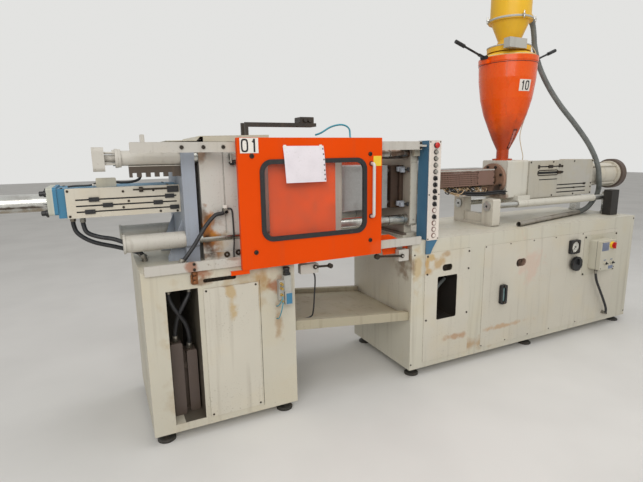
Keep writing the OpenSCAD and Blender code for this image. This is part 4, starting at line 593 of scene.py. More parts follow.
def even_line(points, step):
    """The smooth line again, with points at an even step in metres."""
    line = smooth_line(points, 24)
    out, run = [line[0]], 0.0
    for a, b in zip(line, line[1:]):
        length = (b - a).length
        while run + length >= step:
            a = a + (b - a) * ((step - run) / length)
            out.append(a)
            length, run = (b - a).length, 0.0
        run += length
    if (out[-1] - line[-1]).length > step * 0.3:
        out.append(line[-1])
    return out


hose_line = even_line(hose_route, 0.0045)
hose_mesh = bmesh.new()
drawn(hose_mesh, hose_line, [23 if i % 3 == 0 else 20 for i in range(len(hose_line))], 16)
suction_hose = finished("ribbed_suction_hose", hose_mesh, hose_skin, "carriage", sharp=80)
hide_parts("suction_hose")

# %% [markdown]
# ## Digits and sheets as patches
# The machine carries a number on its gate and on its hopper. Digits could be
# text objects, but text doesn't follow a round wall. Here they are cut like
# stencils: a list of four-cornered patches, laid on a surface and given a
# little thickness. The function that lays them takes the surface as a rule, so
# it serves the flat gate, the paper and the round hopper.

# %% Patches for digits
def zero_patches(middle, base, wide, high, stroke):
    """The ring of a 0 as patches of (sideways, height) corners in millimetres."""
    count, squareness = 28, 0.6

    def loop(inset):
        a, b = wide / 2 - inset, high / 2 - inset
        return [(middle + a * math.copysign(abs(math.cos(t)) ** squareness, math.cos(t)),
                 base + high / 2 + b * math.copysign(abs(math.sin(t)) ** squareness, math.sin(t)))
                for t in (2 * math.pi * i / count for i in range(count))]
    outer, inner = loop(0), loop(stroke)
    return [(outer[i], outer[(i + 1) % count], inner[(i + 1) % count], inner[i]) for i in range(count)]


def one_patches(middle, base, high, stroke):
    """The bar and the flag of a 1."""
    left, right_side, top = middle - stroke / 2, middle + stroke / 2, base + high
    return [((left, base), (right_side, base), (right_side, top), (left, top)),
            ((left - 9, top - 16), (left, top - 22), (left, top), (left - 2, top - 8))]


def lay(mesh, patches, surface, thick=0.7):
    """Lays patches on a surface; surface(sideways, height) gives a place in metres."""
    faces = []
    for patch in patches:
        faces.append(mesh.faces.new([mesh.verts.new(surface(*corner)) for corner in patch]))
    weld(mesh, faces)
    faces = [f for f in mesh.faces if f.is_valid and not f.tag]
    made = bmesh.ops.solidify(mesh, geom=faces, thickness=thick / 1000)
    for face in mesh.faces:
        face.tag = True
    return made


def sheet_patches(left, right_side, low, high, across=10, along=10):
    """A rectangle cut into small patches, so that it can follow a curved surface."""
    u = [left + (right_side - left) * i / across for i in range(across + 1)]
    z = [low + (high - low) * i / along for i in range(along + 1)]
    return [((u[i], z[j]), (u[i + 1], z[j]), (u[i + 1], z[j + 1]), (u[i], z[j + 1]))
            for i in range(across) for j in range(along)]


print("patches of a 0:", len(zero_patches(0, 0, 40, 70, 8)))

# %% [markdown]
# ## Number plate, card and paper
# The gate is a folded sheet with a number plate in its corner, a yellow card
# by the handle and a sheet of paper taped over the rubber frame. A flat block
# would look like board, so the paper is laid in small patches by a rule that
# leans it, lifts it over the frame and curls it.

# %% Number plate, card and paper on the gate
plate = bmesh.new()
block(plate, (534, 635), (-48, -47), (1575, 1654))
finished("gate_number_plate", plate, white_card, "gate", 0.4)
digits = bmesh.new()
for patches in (zero_patches(560, 1580, 40, 70, 9), one_patches(613, 1580, 70, 10)):
    lay(digits, patches, lambda u, z: spot(u, -48.2, z))
finished("gate_number", digits, black_print_and_shade, "gate")
card = bmesh.new()
block(card, (1353, 1409), (-46, -45), (1489, 1549))
finished("gate_yellow_card", card, yellow_card, "gate", 0.4)


def paper_place(u, z, above=0):
    """The sheet leans with its foot to the right and lifts over the rubber frame."""
    below_top, frame_height, bend = 1611 - z, 10, 38
    lean = below_top * 0.06
    lift = frame_height * (1 - math.exp(-max(0, below_top) / bend))
    curl = 1.6 * math.sin((u - 773) / 44) * below_top / 200
    return spot(u + lean, -47.2 - lift - max(0, curl) - above, z)


sheet = bmesh.new()
lay(sheet, sheet_patches(773, 1018, 1410, 1611, 16, 14), paper_place, 0.5)
finished("gate_paper", sheet, paper, "gate", sharp=60)
dashes = bmesh.new()
for low in (1420, 1446, 1470, 1500, 1530, 1560, 1590):
    lay(dashes, sheet_patches(1008, 1015, low, low + 8, 1, 1), lambda u, z: paper_place(u, z, 1), 0.3)
finished("gate_paper_marks", dashes, black_print_and_shade, "gate")
tape = bmesh.new()
for left in (776, 992):
    lay(tape, sheet_patches(left, left + 17, 1600, 1617, 3, 3), lambda u, z: paper_place(u, z, 1.2), 0.3)
finished("gate_tape", tape, white_card, "gate")

# %% [markdown]
# ## Screws on the gate
# Four large round heads hold the frame of the window. Each head is one turned
# profile with its socket, because the dark socket is what one sees of a screw
# from afar.

# %% Screws on the gate
gate_y = -45
screws = bmesh.new()
front_screws(screws, gate_y, 13, 7, 16, ((597, 1560), (600, 1039), (1330, 1561), (1334, 1038)))
finished("gate_screws", screws, dark_bolt, "gate")

# %% [markdown]
# ## Gate handle
# A pull handle is one bent tube with two feet. We draw the bent line with
# points close together at the corners, so the bend stays tight, and turn the
# two dark feet on the lathe.

# %% Gate handle
grip, grip_x = bmesh.new(), 1338
bend = [(-46, 1504), (-62, 1504), (-71, 1502), (-77, 1496), (-79, 1486), (-79, 1440), (-79, 1345), (-79, 1250),
        (-79, 1205), (-77, 1195), (-71, 1189), (-62, 1187), (-46, 1187)]
cable(grip, [(grip_x, y, z) for y, z in bend], 9.5, 16, 4)
handle = finished("gate_pull_handle", grip, handle_plastic, "gate", sharp=70)
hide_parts("gate_handle")
feet = bmesh.new()
for z in (1187, 1504):
    turned(feet, spot(grip_x, gate_y, z), front, [(0, 0), (15, 0), (15, 3), (12, 7), (10, 9), (0, 9)], 24)
finished("gate_handle_feet", feet, dark_red, "gate")

# %% [markdown]
# ## Control column
# Fifteen places stand one above the other: a red stop button, four lamps,
# six selector knobs and four blanking plugs. The places are evenly spaced, so
# a loop sets a collar or a plug at each of them, and a lens where there is a
# lamp.

# %% Collars, lamps and blanks
control_x, face_y, top_place_z, place_step = 1849.5, -14, 1609, 42.5


def control_z(place):
    """The height of a place, counted from the top."""
    return top_place_z - (place - 1) * place_step


collars, lenses, blanks = bmesh.new(), bmesh.new(), bmesh.new()
for place in range(1, 16):
    at = spot(control_x, face_y, control_z(place))
    if place in (11, 13, 14, 15):
        turned(blanks, at, front, [(16, 0), (16, 5.2), (15.2, 6.0), (13.6, 6.0), (13.2, 5.2), (13.2, 4.6)], 28)
        continue
    rim = 17 if place == 1 else 16
    turned(collars, at, front, [(rim, 0), (rim, 4.4), (rim - 1.2, 5.6), (12.4, 5.6), (12.2, 4.8)], 28)
    if place in (2, 3, 4, 5):
        turned(lenses, at, front, [(12.3, 4.8), (12.3, 7), (11.9, 12), (10.2, 17.2), (7.5, 18.2), (0, 18.6)], 28)
finished("control_collars", collars, black_plastic, "frame")
finished("control_blanks", blanks, dark_red, "frame")
finished("control_lamps", lenses, lamp_lens, "frame")
face_screws = bmesh.new()
front_screws(face_screws, face_y, 4.6, 3, 12, [(x, z) for x in (1805, 1886) for z in (1631, 1289, 992)])
finished("control_face_screws", face_screws, dark_bolt, "frame")

# %% [markdown]
# ## Selector knobs
# Each selector is a low round knob with a bar to grip and a white mark. One
# mesh for all six would be quicker to make, but they turn one by one, so each
# knob and its mark ride on a dial body of their own.

# %% Selector knobs
for number, place in enumerate((6, 7, 8, 9, 10, 12), 1):
    z = control_z(place)
    knob = bmesh.new()
    turned(knob, spot(control_x, face_y - 5.4, z), front,
           [(0, 0), (12.8, 0), (13, 2), (12.4, 5), (10, 6.4), (0, 6.4)], 24)
    block(knob, (1845, 1854), (-37, -25), (z - 12, z + 12))
    piece = finished("selector_knob_%d" % number, knob, black_plastic, "dial_%d" % number,
                     1.6)
    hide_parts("selector_%d" % number)
    mark = bmesh.new()
    block(mark, (1849, 1850), (-37.3, -36.6), (z + 1, z + 10))
    finished("selector_mark_%d" % number, mark, white_card, "dial_%d" % number)

# %% [markdown]
# ## Stroke plate
# The operator sets the clamp's stroke with small dogs that slide in long
# slots. The dogs are black, the slots look black because they are deep and
# dirty, so each slot gets a dark strip at its bottom. A thin rod with a round
# nut lies in the short upper slot, and four black nuts stand out of the left
# end of the box behind the plate.

# %% Dogs, slots, nuts and screws of the stroke plate
plate_left, plate_low, plate_high, plate_y = -303, 1258, 153, 235
slots, dogs = bmesh.new(), bmesh.new()
for share, left, end in ((0.20, 43, 543), (0.40, 43, 543), (0.61, 43, 543), (0.88, 326, 497)):
    z = plate_low + plate_high * share
    block(slots, (plate_left + left + 1, plate_left + end - 1), (242.2, 243.2), (z - 3.8, z + 3.8))
for left, share in ((83, 0.20), (505, 0.20), (169, 0.40), (420, 0.40), (106, 0.61), (482, 0.61)):
    x, z = plate_left + left, plate_low + plate_high * share
    block(dogs, (x - 1, x + 47), (227, plate_y), (z - 11, z + 11))
    block(dogs, (x + 14, x + 32), (225, 227), (z - 7, z + 7))
z = plate_low + plate_high * 0.85
block(dogs, (plate_left + 495, plate_left + 555), (227, plate_y), (z - 17, z + 17))
# Black strips at the slot bottoms: painted shade with dirt.
finished("stroke_slot_shadows", slots, black_print_and_shade, "frame")
finished("stroke_dogs", dogs, black_plastic, "frame", 1.5)
rod = bmesh.new()
z = plate_low + plate_high * 0.88
turned(rod, spot(18, 233, z), right, [(0, 0), (4, 0), (4, 30), (13, 30), (14, 33), (14, 47), (13, 50), (5, 50),
                                     (5, 170), (6, 176), (0, 176)], 16)
finished("stroke_rod", rod, dark_bolt, "frame")
nuts = bmesh.new()
for z in (1390, 1292):
    for y in (256, 514):
        turned(nuts, spot(-385, y, z), -right, [(0, 0), (17, 0), (17, 12), (13, 14), (13, 29), (10, 32), (0, 32)], 18)
finished("stroke_end_nuts", nuts, black_plastic, "frame")
screws = bmesh.new()
front_screws(screws, plate_y, 6.5, 4, 12, ((-292, 1398), (-291, 1269), (-32, 1386), (-8, 1334), (-36, 1302),
                                       (120, 1386), (150, 1270), (240, 1266)))
for y in (262, 300, 470, 510):
    for x in (-370, -320, 200):
        pan_head(screws, spot(x, y, 1411), up, 6, 3, 12)
finished("stroke_screws", screws, dark_bolt, "frame")

# %% [markdown]
# ## Cover of the injection unit
# The cover beside the injection cylinder has slots and dogs of the same kind,
# and a loop of black rod round the second slot. They set where the screw stops.

# %% Slots and screws of the injection cover
cover_left, cover_low, cover_high, cover_y = 3032, 1176, 306, 240
slots, dogs, screws = bmesh.new(), bmesh.new(), bmesh.new()
for left, end, share, half in ((99, 413, 0.833, 4.4), (100, 420, 0.667, 9.2), (122, 347, 0.484, 3.6),
                               (348, 730, 0.317, 4.4), (347, 728, 0.219, 4.4), (348, 727, 0.111, 4.4)):
    z = cover_low + cover_high * share
    block(slots, (cover_left + left + 1, cover_left + end - 1), (247.2, 248.2), (z - half, z + half))
for left, wide, share, half in ((100, 18, 0.833, 14), (225, 52, 0.833, 12), (352, 18, 0.85, 14), (385, 16, 0.833, 9),
                                (346, 40, 0.667, 12), (690, 22, 0.317, 8), (560, 16, 0.219, 6)):
    z = cover_low + cover_high * share
    block(dogs, (cover_left + left, cover_left + left + wide), (233, 244), (z - half, z + half))
front_screws(screws, cover_y, 7, 4, 12, ((3048, 1469), (3316, 1469), (3581, 1470), (3822, 1470), (3048, 1189),
                                     (3320, 1189), (3593, 1189), (3822, 1273), (3820, 1241), (3822, 1189)))
loop = [(3150, -20), (3362, -20), (3377, -14), (3380, 0), (3377, 14), (3362, 20),
        (3150, 20), (3135, 14), (3132, 0), (3135, -14), (3150, -20)]
drawn(dogs, [spot(x, cover_y, 1380 + z) for x, z in loop], 4.5, 8)
# Black strips at the slot bottoms: painted shade with dirt.
finished("injection_slot_shadows", slots, black_print_and_shade, "carriage")
finished("injection_dogs", dogs, dark_bolt, "carriage", 1.2)
finished("injection_cover_screws", screws, dark_bolt, "carriage")

# %% [markdown]
# ## Barrel guard
# The heated barrel wears a guard of perforated sheet, browned by years of
# heat. A picture of holes would look flat from the side, so the holes are
# real: each cell of the sheet is a square with an eight-cornered hole, and the
# whole panel is made thick at the end. The last part of the guard is plain.

# %% Perforated panels
def perforated(mesh, x, z, y, pitch, hole, thick=2.5):
    """A sheet in X and Z at depth y, full of round holes."""
    columns, rows = int((x[1] - x[0]) // pitch), int((z[1] - z[0]) // pitch)
    step_x, step_z = (x[1] - x[0]) / columns, (z[1] - z[0]) / rows
    edge = [(1, 0), (1, 1), (0, 1), (-1, 1), (-1, 0), (-1, -1), (0, -1), (1, -1)]
    made, corners = [], len(edge)
    for i in range(columns):
        for j in range(rows):
            cx, cz = x[0] + step_x * (i + 0.5), z[0] + step_z * (j + 0.5)
            outer = [mesh.verts.new(spot(cx + a * step_x / 2, y, cz + b * step_z / 2)) for a, b in edge]
            inner = [mesh.verts.new(spot(cx + math.cos(math.pi * k / 4) * hole / 2, y,
                                         cz + math.sin(math.pi * k / 4) * hole / 2)) for k in range(corners)]
            for k in range(corners):
                after = (k + 1) % corners
                made.append(mesh.faces.new((outer[k], outer[after], inner[after], inner[k])))
    weld(mesh, made)
    bmesh.ops.solidify(mesh, geom=mesh.faces[:], thickness=thick / 1000)
    return columns * rows


holes, pitch, hole = 0, 15, 9.5
for name, y in (("barrel_guard_front", 300.5), ("barrel_guard_back", 466.9)):
    guard = bmesh.new()
    holes += perforated(guard, (1902, 2540), (1306, 1412), y, pitch, hole)
    finished(name, guard, guard_brown, "carriage")
frame_mesh = bmesh.new()
for y in ((300, 303), (467, 470)):
    for x, z in (((1900, 2710), (1412, 1421)), ((1900, 2710), (1300, 1306)),
                 ((2540, 2709), (1306, 1412)), ((1900, 1902), (1306, 1412))):
        block(frame_mesh, x, y, z)
block(frame_mesh, (1900, 2709), (300, 470), (1421, 1424))
block(frame_mesh, (2709, 2767), (345, 425), (1421, 1424))
whole = finished("barrel_guard_frame", frame_mesh, guard_brown, "carriage", 0.8)
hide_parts("barrel_guard")
lip = bmesh.new()
block(lip, (1900, 2709), (298.6, 300), (1417, 1424.6))
block(lip, (1900, 2709), (298.6, 306), (1424, 1424.8))
finished("barrel_guard_lip", lip, loader_grey, "carriage", 0.3)
rivets = bmesh.new()
front_screws(rivets, 300, 5, 2.6, 10, [(x, z) for x in (2536, 2704) for z in (1318, 1360, 1402)])
finished("barrel_guard_rivets", rivets, dark_bolt, "carriage")
print("holes in the guard:", holes)

# %% [markdown]
# ## Heater wires
# Under the guard hangs a tangle of heater and thermocouple wires. Each wire is
# a smooth line between a few points. The points come from sines with different
# steps, which look untidy but are the same at every run. Four thick dark wires
# leave the tangle together, over the saddle.

# %% Wire tangle under the barrel
tangle, dark_tangle = bmesh.new(), bmesh.new()
for i in range(26):
    a, b, c, d, e = (math.sin(i * 2.399 + k * 1.7) for k in range(5))
    start = 2225 + 11.5 * i
    points = [(start, 350 + 34 * a, 1304), (start + 34 * b, 325 + 22 * c, 1272 + 10 * d),
              (start + 60 + 46 * c, 322 + 24 * e, 1242 + 15 * a), (start + 96 + 40 * d, 344 + 36 * b, 1262 + 20 * c),
              (start + 120 + 22 * e, 362 + 30 * d, 1292 + 8 * e)]
    cable(tangle if i % 3 else dark_tangle, points, 2.6 if i % 2 else 3.8, 6)
finished("heater_wires", tangle, silk_wire, "carriage", sharp=80)
bundle = [(2300, 330, 1252), (2420, 300, 1236), (2540, 286, 1228), (2640, 276, 1232), (2720, 268, 1236),
          (2770, 262, 1232), (2799, 260, 1226)]
for k, (dy, dz, wide) in enumerate(((0, 0, 8), (12, 10, 7), (-4, 16, 6), (10, -8, 5))):
    cable(dark_tangle, [(x + 6 * k, y + dy, z + dz) for x, y, z in bundle], wide)
finished("dark_wires", dark_tangle, cable_skin, "carriage", sharp=80)
glands = bmesh.new()
for x in (2010, 2160, 2310, 2460, 2610):
    turned(glands, spot(x, axis_y, 1280), -up, [(0, 0), (13, 0), (13, 8), (9, 10), (9, 26), (6, 28), (0, 28)], 12)
finished("heater_terminals", glands, brass, "carriage")

# %% [markdown]
# ## Number on the hopper
# The hopper is a spun shell of orange plastic. Things on it must follow its
# curve, so a function gives the place at an angle, a height and a lift above
# the wall. Zero is towards the operator and angles go to the right. The number
# plate is laid with it, and so is the sight strip of the next step.

# %% A rule for the hopper's wall
hopper_x, hopper_y, hopper_foot, hopper_height, middle_radius = 2875, axis_y, 1490, 789, 200
wall = [(0.105, 53), (0.207, 87), (0.308, 119), (0.457, 165), (0.606, 195), (0.80, 215), (0.94, 219), (1.0, 224)]


def wall_radius(z):
    """The wall's radius at a height; each pair of the wall is a share of the height and a radius."""
    share = (z - hopper_foot) / hopper_height
    for (low, a), (high, b) in zip(wall, wall[1:]):
        if share <= high:
            return a + (b - a) * max(0, (share - low) / (high - low))
    return wall[-1][1]


def on_hopper(around, z, lift=0.8):
    """A place on the wall; around is in millimetres along a circle of the middle radius."""
    angle = around / middle_radius
    radius = wall_radius(z) + lift
    return spot(hopper_x + radius * math.sin(angle), hopper_y - radius * math.cos(angle), z)


plate = bmesh.new()
lay(plate, sheet_patches(-74, 26, 2014, 2098, 12, 4), lambda u, z: on_hopper(u, z, 1.0), 0.6)
finished("hopper_number_plate", plate, white_card, "carriage", sharp=60)
digits = bmesh.new()
lay(digits, one_patches(-44, 2022, 68, 9) + zero_patches(-8, 2022, 36, 68, 9),
    lambda u, z: on_hopper(u, z, 1.9), 0.5)
finished("hopper_number", digits, black_print_and_shade, "carriage", sharp=60)

# %% [markdown]
# ## Sight strip, rim and loader
# A narrow strip in the wall shows how full the hopper is, and a dark border
# with small studs holds it. The rim has a groove, and the loader on top is
# banded by grey rings with toggle catches. What lies on the wall is laid in
# patches, what goes round it is turned in one piece.

# %% Sight strip, rim groove, loader rings and catches
strip, border, studs = bmesh.new(), bmesh.new(), bmesh.new()
lay(strip, sheet_patches(-22, 22, 1592, 1722, 4, 8), lambda u, z: on_hopper(u, z, 0.6), 1.2)
finished("hopper_sight_strip", strip, plain("sight strip", tone(196, 112, 100), 0.25, fixed={"Coat Weight": 0.5}),
         "carriage", sharp=60)
for left, end, low, high in ((-34, -22, 1580, 1736), (22, 34, 1580, 1736),
                             (-22, 22, 1580, 1592), (-22, 22, 1722, 1736)):
    lay(border, sheet_patches(left, end, low, high, 3, 8), on_hopper, 2.4)
finished("hopper_sight_border", border, plain("sight border", tone(126, 58, 40), 0.45),
         "carriage", sharp=60)
for z in (1592, 1626, 1660, 1694, 1726):
    for u in (-28, 28):
        base = on_hopper(u, z, 3.0)
        pan_head(studs, base, base - spot(hopper_x, hopper_y, z - 30), 3.4, 2.4, 10)
finished("hopper_sight_studs", studs, dark_bolt, "carriage")
groove = bmesh.new()
turned(groove, spot(hopper_x, hopper_y, 2228), up, [(219.4, 0), (221.2, 1.2), (221.2, 3.8), (219.4, 5)], 96)
finished("hopper_groove", groove, dark_red, "carriage", sharp=60)
rings = bmesh.new()
for z, profile in ((2547, [(158, 8), (166, 8), (169, 11), (169, 19), (165, 23), (156, 23)]),
                   (2359, [(150, 0), (164, 0), (166, 2), (166, 8), (163, 10), (150, 10)]),
                   (2279, [(205, 1), (213, 1), (214, 6), (210, 9), (203, 9)])):
    turned(rings, spot(hopper_x, hopper_y, z), up, profile, 72)
block(rings, (2691.5, 2871.5), (208.5, 266), (2326, 2396.5))
finished("loader_rings", rings, loader_grey, "carriage")
catches = bmesh.new()
for angle in (0.9, 2.6, 4.3, 6.0):
    out = Vector((math.sin(angle), -math.cos(angle), 0))
    turned(catches, spot(hopper_x, hopper_y, 2566) + out * 0.171, out,
           [(0, 0), (9, 0), (9, 14), (6, 18), (0, 18)], 14)
    turned(catches, spot(hopper_x, hopper_y, 2590) + out * 0.183, -up,
           [(0, 0), (5, 0), (6, 40), (3, 52), (0, 52)], 10)
finished("loader_catches", catches, bright_rod, "carriage")
wire = bmesh.new()
cable(wire, [(3068, 330, 2380), (3078, 300, 2330), (3084, 290, 2250), (3084, 290, 2105), (3056, 296, 1950),
             (2985, 300, 1767), (2962, 296, 1678), (2975, 290, 1600), (3004, 290, 1520), (3010, 300, 1484)], 3.2)
finished("loader_wire", wire, pale_wire, "carriage", sharp=80)
print("radius of the hopper at the number:", round(wall_radius(2056)), "mm")

# %% [markdown]
# ## Hoses and cables that are held at both ends
# These don't hang free: both ends are screwed in. The one on the clamp housing
# follows the photograph, the others follow the lines of their CAD solids. Each
# end gets a crimped steel sleeve with a nut.

# %% Held hoses
held_lines = [
    (12, [(-240, 360, 1262), (-240, 360, 1210), (-225, 345, 1165), (-170, 320, 1140), (-90, 300, 1120),
          (0, 290, 1070), (40, 290, 1020), (50, 290, 985)]),
    (12, [(-290, 420, 1262), (-290, 420, 1200), (-270, 410, 1150), (-200, 400, 1100), (-80, 390, 1060),
          (20, 385, 1020), (60, 380, 985)]),
    (11, [(478, 119, 1268), (476, 98, 1262), (455, 88, 1251), (414, 84, 1243), (363, 80, 1193), (325, 76, 1140),
          (286, 70, 1085), (240, 62, 1030), (212, 58, 1000), (205, 58, 985)]),
    (12, [(160, 130, 540), (160, 110, 610), (180, 90, 700), (215, 80, 770), (245, 90, 820), (250, 100, 870)]),
    (12, [(235, 150, 480), (235, 120, 560), (215, 100, 650), (170, 80, 730), (140, 90, 800), (135, 100, 870)]),
    (10, [(3573, -50, 575), (3573, -50, 540), (3590, -54, 470), (3637, -60, 383), (3700, -58, 290), (3760, -52, 200),
          (3785, -40, 150), (3790, -20, 140), (3790, -3, 140)])]
hoses, sleeves = bmesh.new(), bmesh.new()
for radius, points in held_lines:
    line = smooth_line([spot(*p) for p in points], 8)
    drawn(hoses, line, radius, 14)
    for base, beyond in ((line[0], line[1]), (line[-1], line[-2])):
        turned(sleeves, base, beyond - base, [(0, 0), (radius + 5, 0), (radius + 5, 12), (radius + 2.5, 12),
                                             (radius + 2.5, 17), (radius + 3.2, 19), (radius + 3.2, 38),
                                             (radius + 0.4, 42), (radius - 1, 42)], 12)
held = finished("held_hoses", hoses, cable_skin, "frame", sharp=80)
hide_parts("fixed_hoses")
finished("held_hose_sleeves", sleeves, dark_tube, "frame")

# %% [markdown]
# ## Thin cables on the clamp side
# Switch cables and an oil line run over the housing, the stroke plate and the
# bed. They are drawn like the hoses, but thinner and with fewer sides, because
# nobody sees eight sides on a cable as thin as a finger.

# %% Thin cables on the clamp side
thin = bmesh.new()
for radius, points in (
        (4.5, [(486, 117, 1270), (505, 112, 1272), (517, 113, 1260), (521, 115, 1200), (522, 115, 1093),
               (517, 115, 1030), (516, 113, 990)]),
        (5, [(-290, 300, 1418), (-250, 296, 1421), (-190, 300, 1421), (-157, 302, 1430)]),
        (7, [(-60, 302, 1434), (-30, 300, 1430), (20, 298, 1432), (58, 296, 1446), (66, 290, 1475), (52, 270, 1500),
             (30, 240, 1512)]),
        (5, [(960, 30, 868), (980, 26, 850), (992, 40, 800), (994, 60, 700), (990, 70, 600), (975, 80, 560),
             (900, 90, 548), (842, 96, 545)])):
    cable(thin, points, radius)
finished("thin_cables", thin, cable_skin, "frame", sharp=80)
fittings = bmesh.new()
block(fittings, (466, 490), (106, 120), (1250, 1293))
block(fittings, (470, 486), (100, 106), (1258, 1285))
turned(fittings, spot(-176, 300, 1421), right,
       [(0, 0), (8, 0), (8, 8), (5, 8), (5, 22), (8, 22), (8, 32), (0, 32)], 10)
finished("cable_fittings", fittings, white_card, "frame", 1.5)

# %% [markdown]
# ## Small parts round the clamp
# Eyes, a bracket by the gate, rusty clamps and socket screws on the rails and
# a comb behind the slot in the bed. Each is a few sawn blocks or turned parts.
# None is large, but together they tell that the machine has worked.

# %% Small parts of the clamp
eyes = bmesh.new()
for x, z in ((477, 1010), (544, 1016)):
    turned(eyes, spot(x, 120, z), front, [(6, 1), (6, 5), (9, 8), (14, 8), (17, 5), (17, 0)], 20)
finished("housing_eyes", eyes, dark_bolt, "frame")
bracket = bmesh.new()
block(bracket, (516, 560), (96, 120), (1540, 1578))
block(bracket, (516, 524), (84, 120), (1524, 1578))
finished("gate_stop_bracket", bracket, rail_paint, "frame", 2)
stop_rubber = bmesh.new()
block(stop_rubber, (514, 560), (88, 118), (1520, 1530))
turned(stop_rubber, spot(528, 100, 1524), -up, [(0, 0), (11, 0), (12, 6), (9, 12), (0, 12)], 16)
finished("gate_stop_rubber", stop_rubber, black_rubber, "frame", 1)
clamps = bmesh.new()
block(clamps, (252, 284), (-6, 0), (892, 964))
for z in (905, 930, 952):
    turned(clamps, spot(266, -6, z), front, [(0, 0), (11, 0), (11, 7), (8, 9), (5, 9), (5, 14), (0, 14)], 6)
block(clamps, (246, 254), (-12, 0), (900, 948))
finished("rail_clamps", clamps, steel("rusty clamp", tone(150, 96, 58), 0.6, oil=0.8, metallic=0.5), "frame",
         1.5)
comb = bmesh.new()
for x in range(316, 485, 8):
    block(comb, (x, x + 3.4), (8, 20), (895, 913))
finished("bed_slot_comb", comb, dark_bolt, "frame", 0.5)
rail_screws = bmesh.new()
for x in (246, 354, 456):
    turned(rail_screws, spot(x, -16, 1609), front,
           [(0, 0), (9.6, 0), (9.6, 4), (8, 6), (5, 6), (4.6, 2.4), (0, 2.4)], 20)
for x, z in ((1726, 1594), (1726, 1624), (267, 976), (267, 1006)):
    turned(rail_screws, spot(x, -16, z), front,
           [(0, 0), (7.6, 0), (7.6, 4), (6, 5), (4, 5), (3.6, 2), (0, 2)], 16)
finished("rail_socket_screws", rail_screws, dark_bolt, "frame")

# %% [markdown]
# ## Valve on the bed
# The air valve has a black coil on top, a blue plate and four brass fittings.
# Two thin blue tubes go from them into the bed, and a thicker one arches over
# the top of the gate. The fittings differ only in height, so a loop turns them.

# %% Valve with its coil and brass fittings
coil = bmesh.new()
turned(coil, spot(782, -20, 882), up,
       [(0, 0), (20, 0), (20, 3), (17, 5), (17, 30), (20, 32), (20, 44), (14, 47), (0, 47)], 24)
block(coil, (766, 800), (-42, -4), (884, 898))
finished("valve_coil", coil, black_plastic, "frame", 1.5)
blue_plate = bmesh.new()
block(blue_plate, (770, 806), (-43, -42), (712, 776))
finished("valve_plate", blue_plate, stroke_box_paint, "frame", 0.4)
fittings = bmesh.new()
for z in (736, 772, 812, 838):
    turned(fittings, spot(742, -18, z), front,
           [(0, 16), (9, 16), (9, 24), (6.5, 26), (6.5, 34), (8, 34), (8, 42), (0, 42)], 6)
finished("valve_fittings", fittings, brass, "frame")
tubes = bmesh.new()
for z, drop in ((736, 100), (772, 60)):
    cable(tubes, [(742, -56, z), (738, -66, z - 14), (728, -62, z - drop * 0.6), (722, -40, z - drop),
                  (722, -8, z - drop - 14), (722, 2, z - drop - 16)], 3)
cable(tubes, [(1172, 385, 1688), (1216, 385, 1703), (1290, 385, 1742), (1372, 385, 1756),
              (1424, 380, 1730), (1410, 330, 1660), (1404, 200, 1604), (1404, 100, 1602)], 6)
finished("valve_air_tubes", tubes, teal_wire, "frame", sharp=80)

# %% [markdown]
# ## Mould clamps
# Two swinging toggle clamps press the mould on the fixed side. Their black
# T-knobs stand in front of the pale edge of the fixed platen, and a small
# bracket sits at its top. All are sawn and turned, with soft edges as on cast
# parts.

# %% Mould clamps and rail bracket
arms, knobs = bmesh.new(), bmesh.new()
for z in (1455, 1222):
    block(arms, (1690, 1748), (176, 199), (z - 16, z + 16))
    block(arms, (1700, 1730), (150, 176), (z - 22, z + 8))
    turned(knobs, spot(1730, 150, z - 2), front, [(0, 0), (6, 0), (6, 22), (8, 24), (8, 34), (0, 34)], 14)
    turned(knobs, spot(1731, 119, z - 16), up, [(0, 0), (7, 0), (8, 4), (8, 26), (7, 30), (0, 30)], 14)
finished("mould_clamp_arms", arms, end_plate_paint, "frame", 3)
finished("mould_clamp_knobs", knobs, black_plastic, "frame", 1)
tube = bmesh.new()
block(tube, (1754, 1800), (84, 112), (1540, 1590))
finished("platen_top_bracket", tube, top_cover_paint, "frame", 2)

# %% [markdown]
# ## Pressure gauge
# The gauge has a pale dial with 25 ticks, every fourth one long, and a black
# needle under glass. A rule turns a ray of the dial into a place, so that
# ticks and needle are laid like the digits.

# %% Gauge
gx, gz = 3319, 784


def on_dial(angle, along, across):
    """A place on the dial, along a ray from its middle and across it."""
    return (gx + along * math.cos(angle) - across * math.sin(angle),
            gz + along * math.sin(angle) + across * math.cos(angle))


dial, ticks = bmesh.new(), bmesh.new()
turned(dial, spot(gx, -21.6, gz), front, [(0, 0), (44, 0), (44, 1.2), (0, 1.2)], 48)
finished("gauge_dial", dial, gauge_face, "frame")
for i in range(25):
    angle = math.radians(225 - i * 270 / 24)
    inner, outer, half = (31, 40, 0.9) if i % 4 == 0 else (35, 40, 0.5)
    corners = ((inner, -half), (outer, -half), (outer, half), (inner, half))
    lay(ticks, [[on_dial(angle, *corner) for corner in corners]], lambda u, z: spot(u, -23.2, z), 0.4)
angle = math.radians(228)
tip_x, tip_z = on_dial(angle, 33, 0)
needle = [on_dial(angle, -9, 3), on_dial(angle, -9, -3), (tip_x + 0.4, tip_z), (tip_x - 0.4, tip_z)]
lay(ticks, [needle], lambda u, z: spot(u, -24.2, z), 0.6)
turned(ticks, spot(gx, -23, gz), front, [(0, 0), (4, 0), (4, 2), (0, 2.6)], 16)
finished("gauge_needle", ticks, black_print_and_shade, "frame")
bezel = bmesh.new()
turned(bezel, spot(gx, -29, gz), front, [(45, -6), (45, 0), (47, 1.5), (51, 1.5), (53, 0), (53, -1)], 48)
finished("gauge_bezel", bezel, dark_bolt, "frame")
glass = bmesh.new()
turned(glass, spot(gx, -26.5, gz), front, [(0, 0), (45, 0), (45, 1), (0, 1.6)], 48)
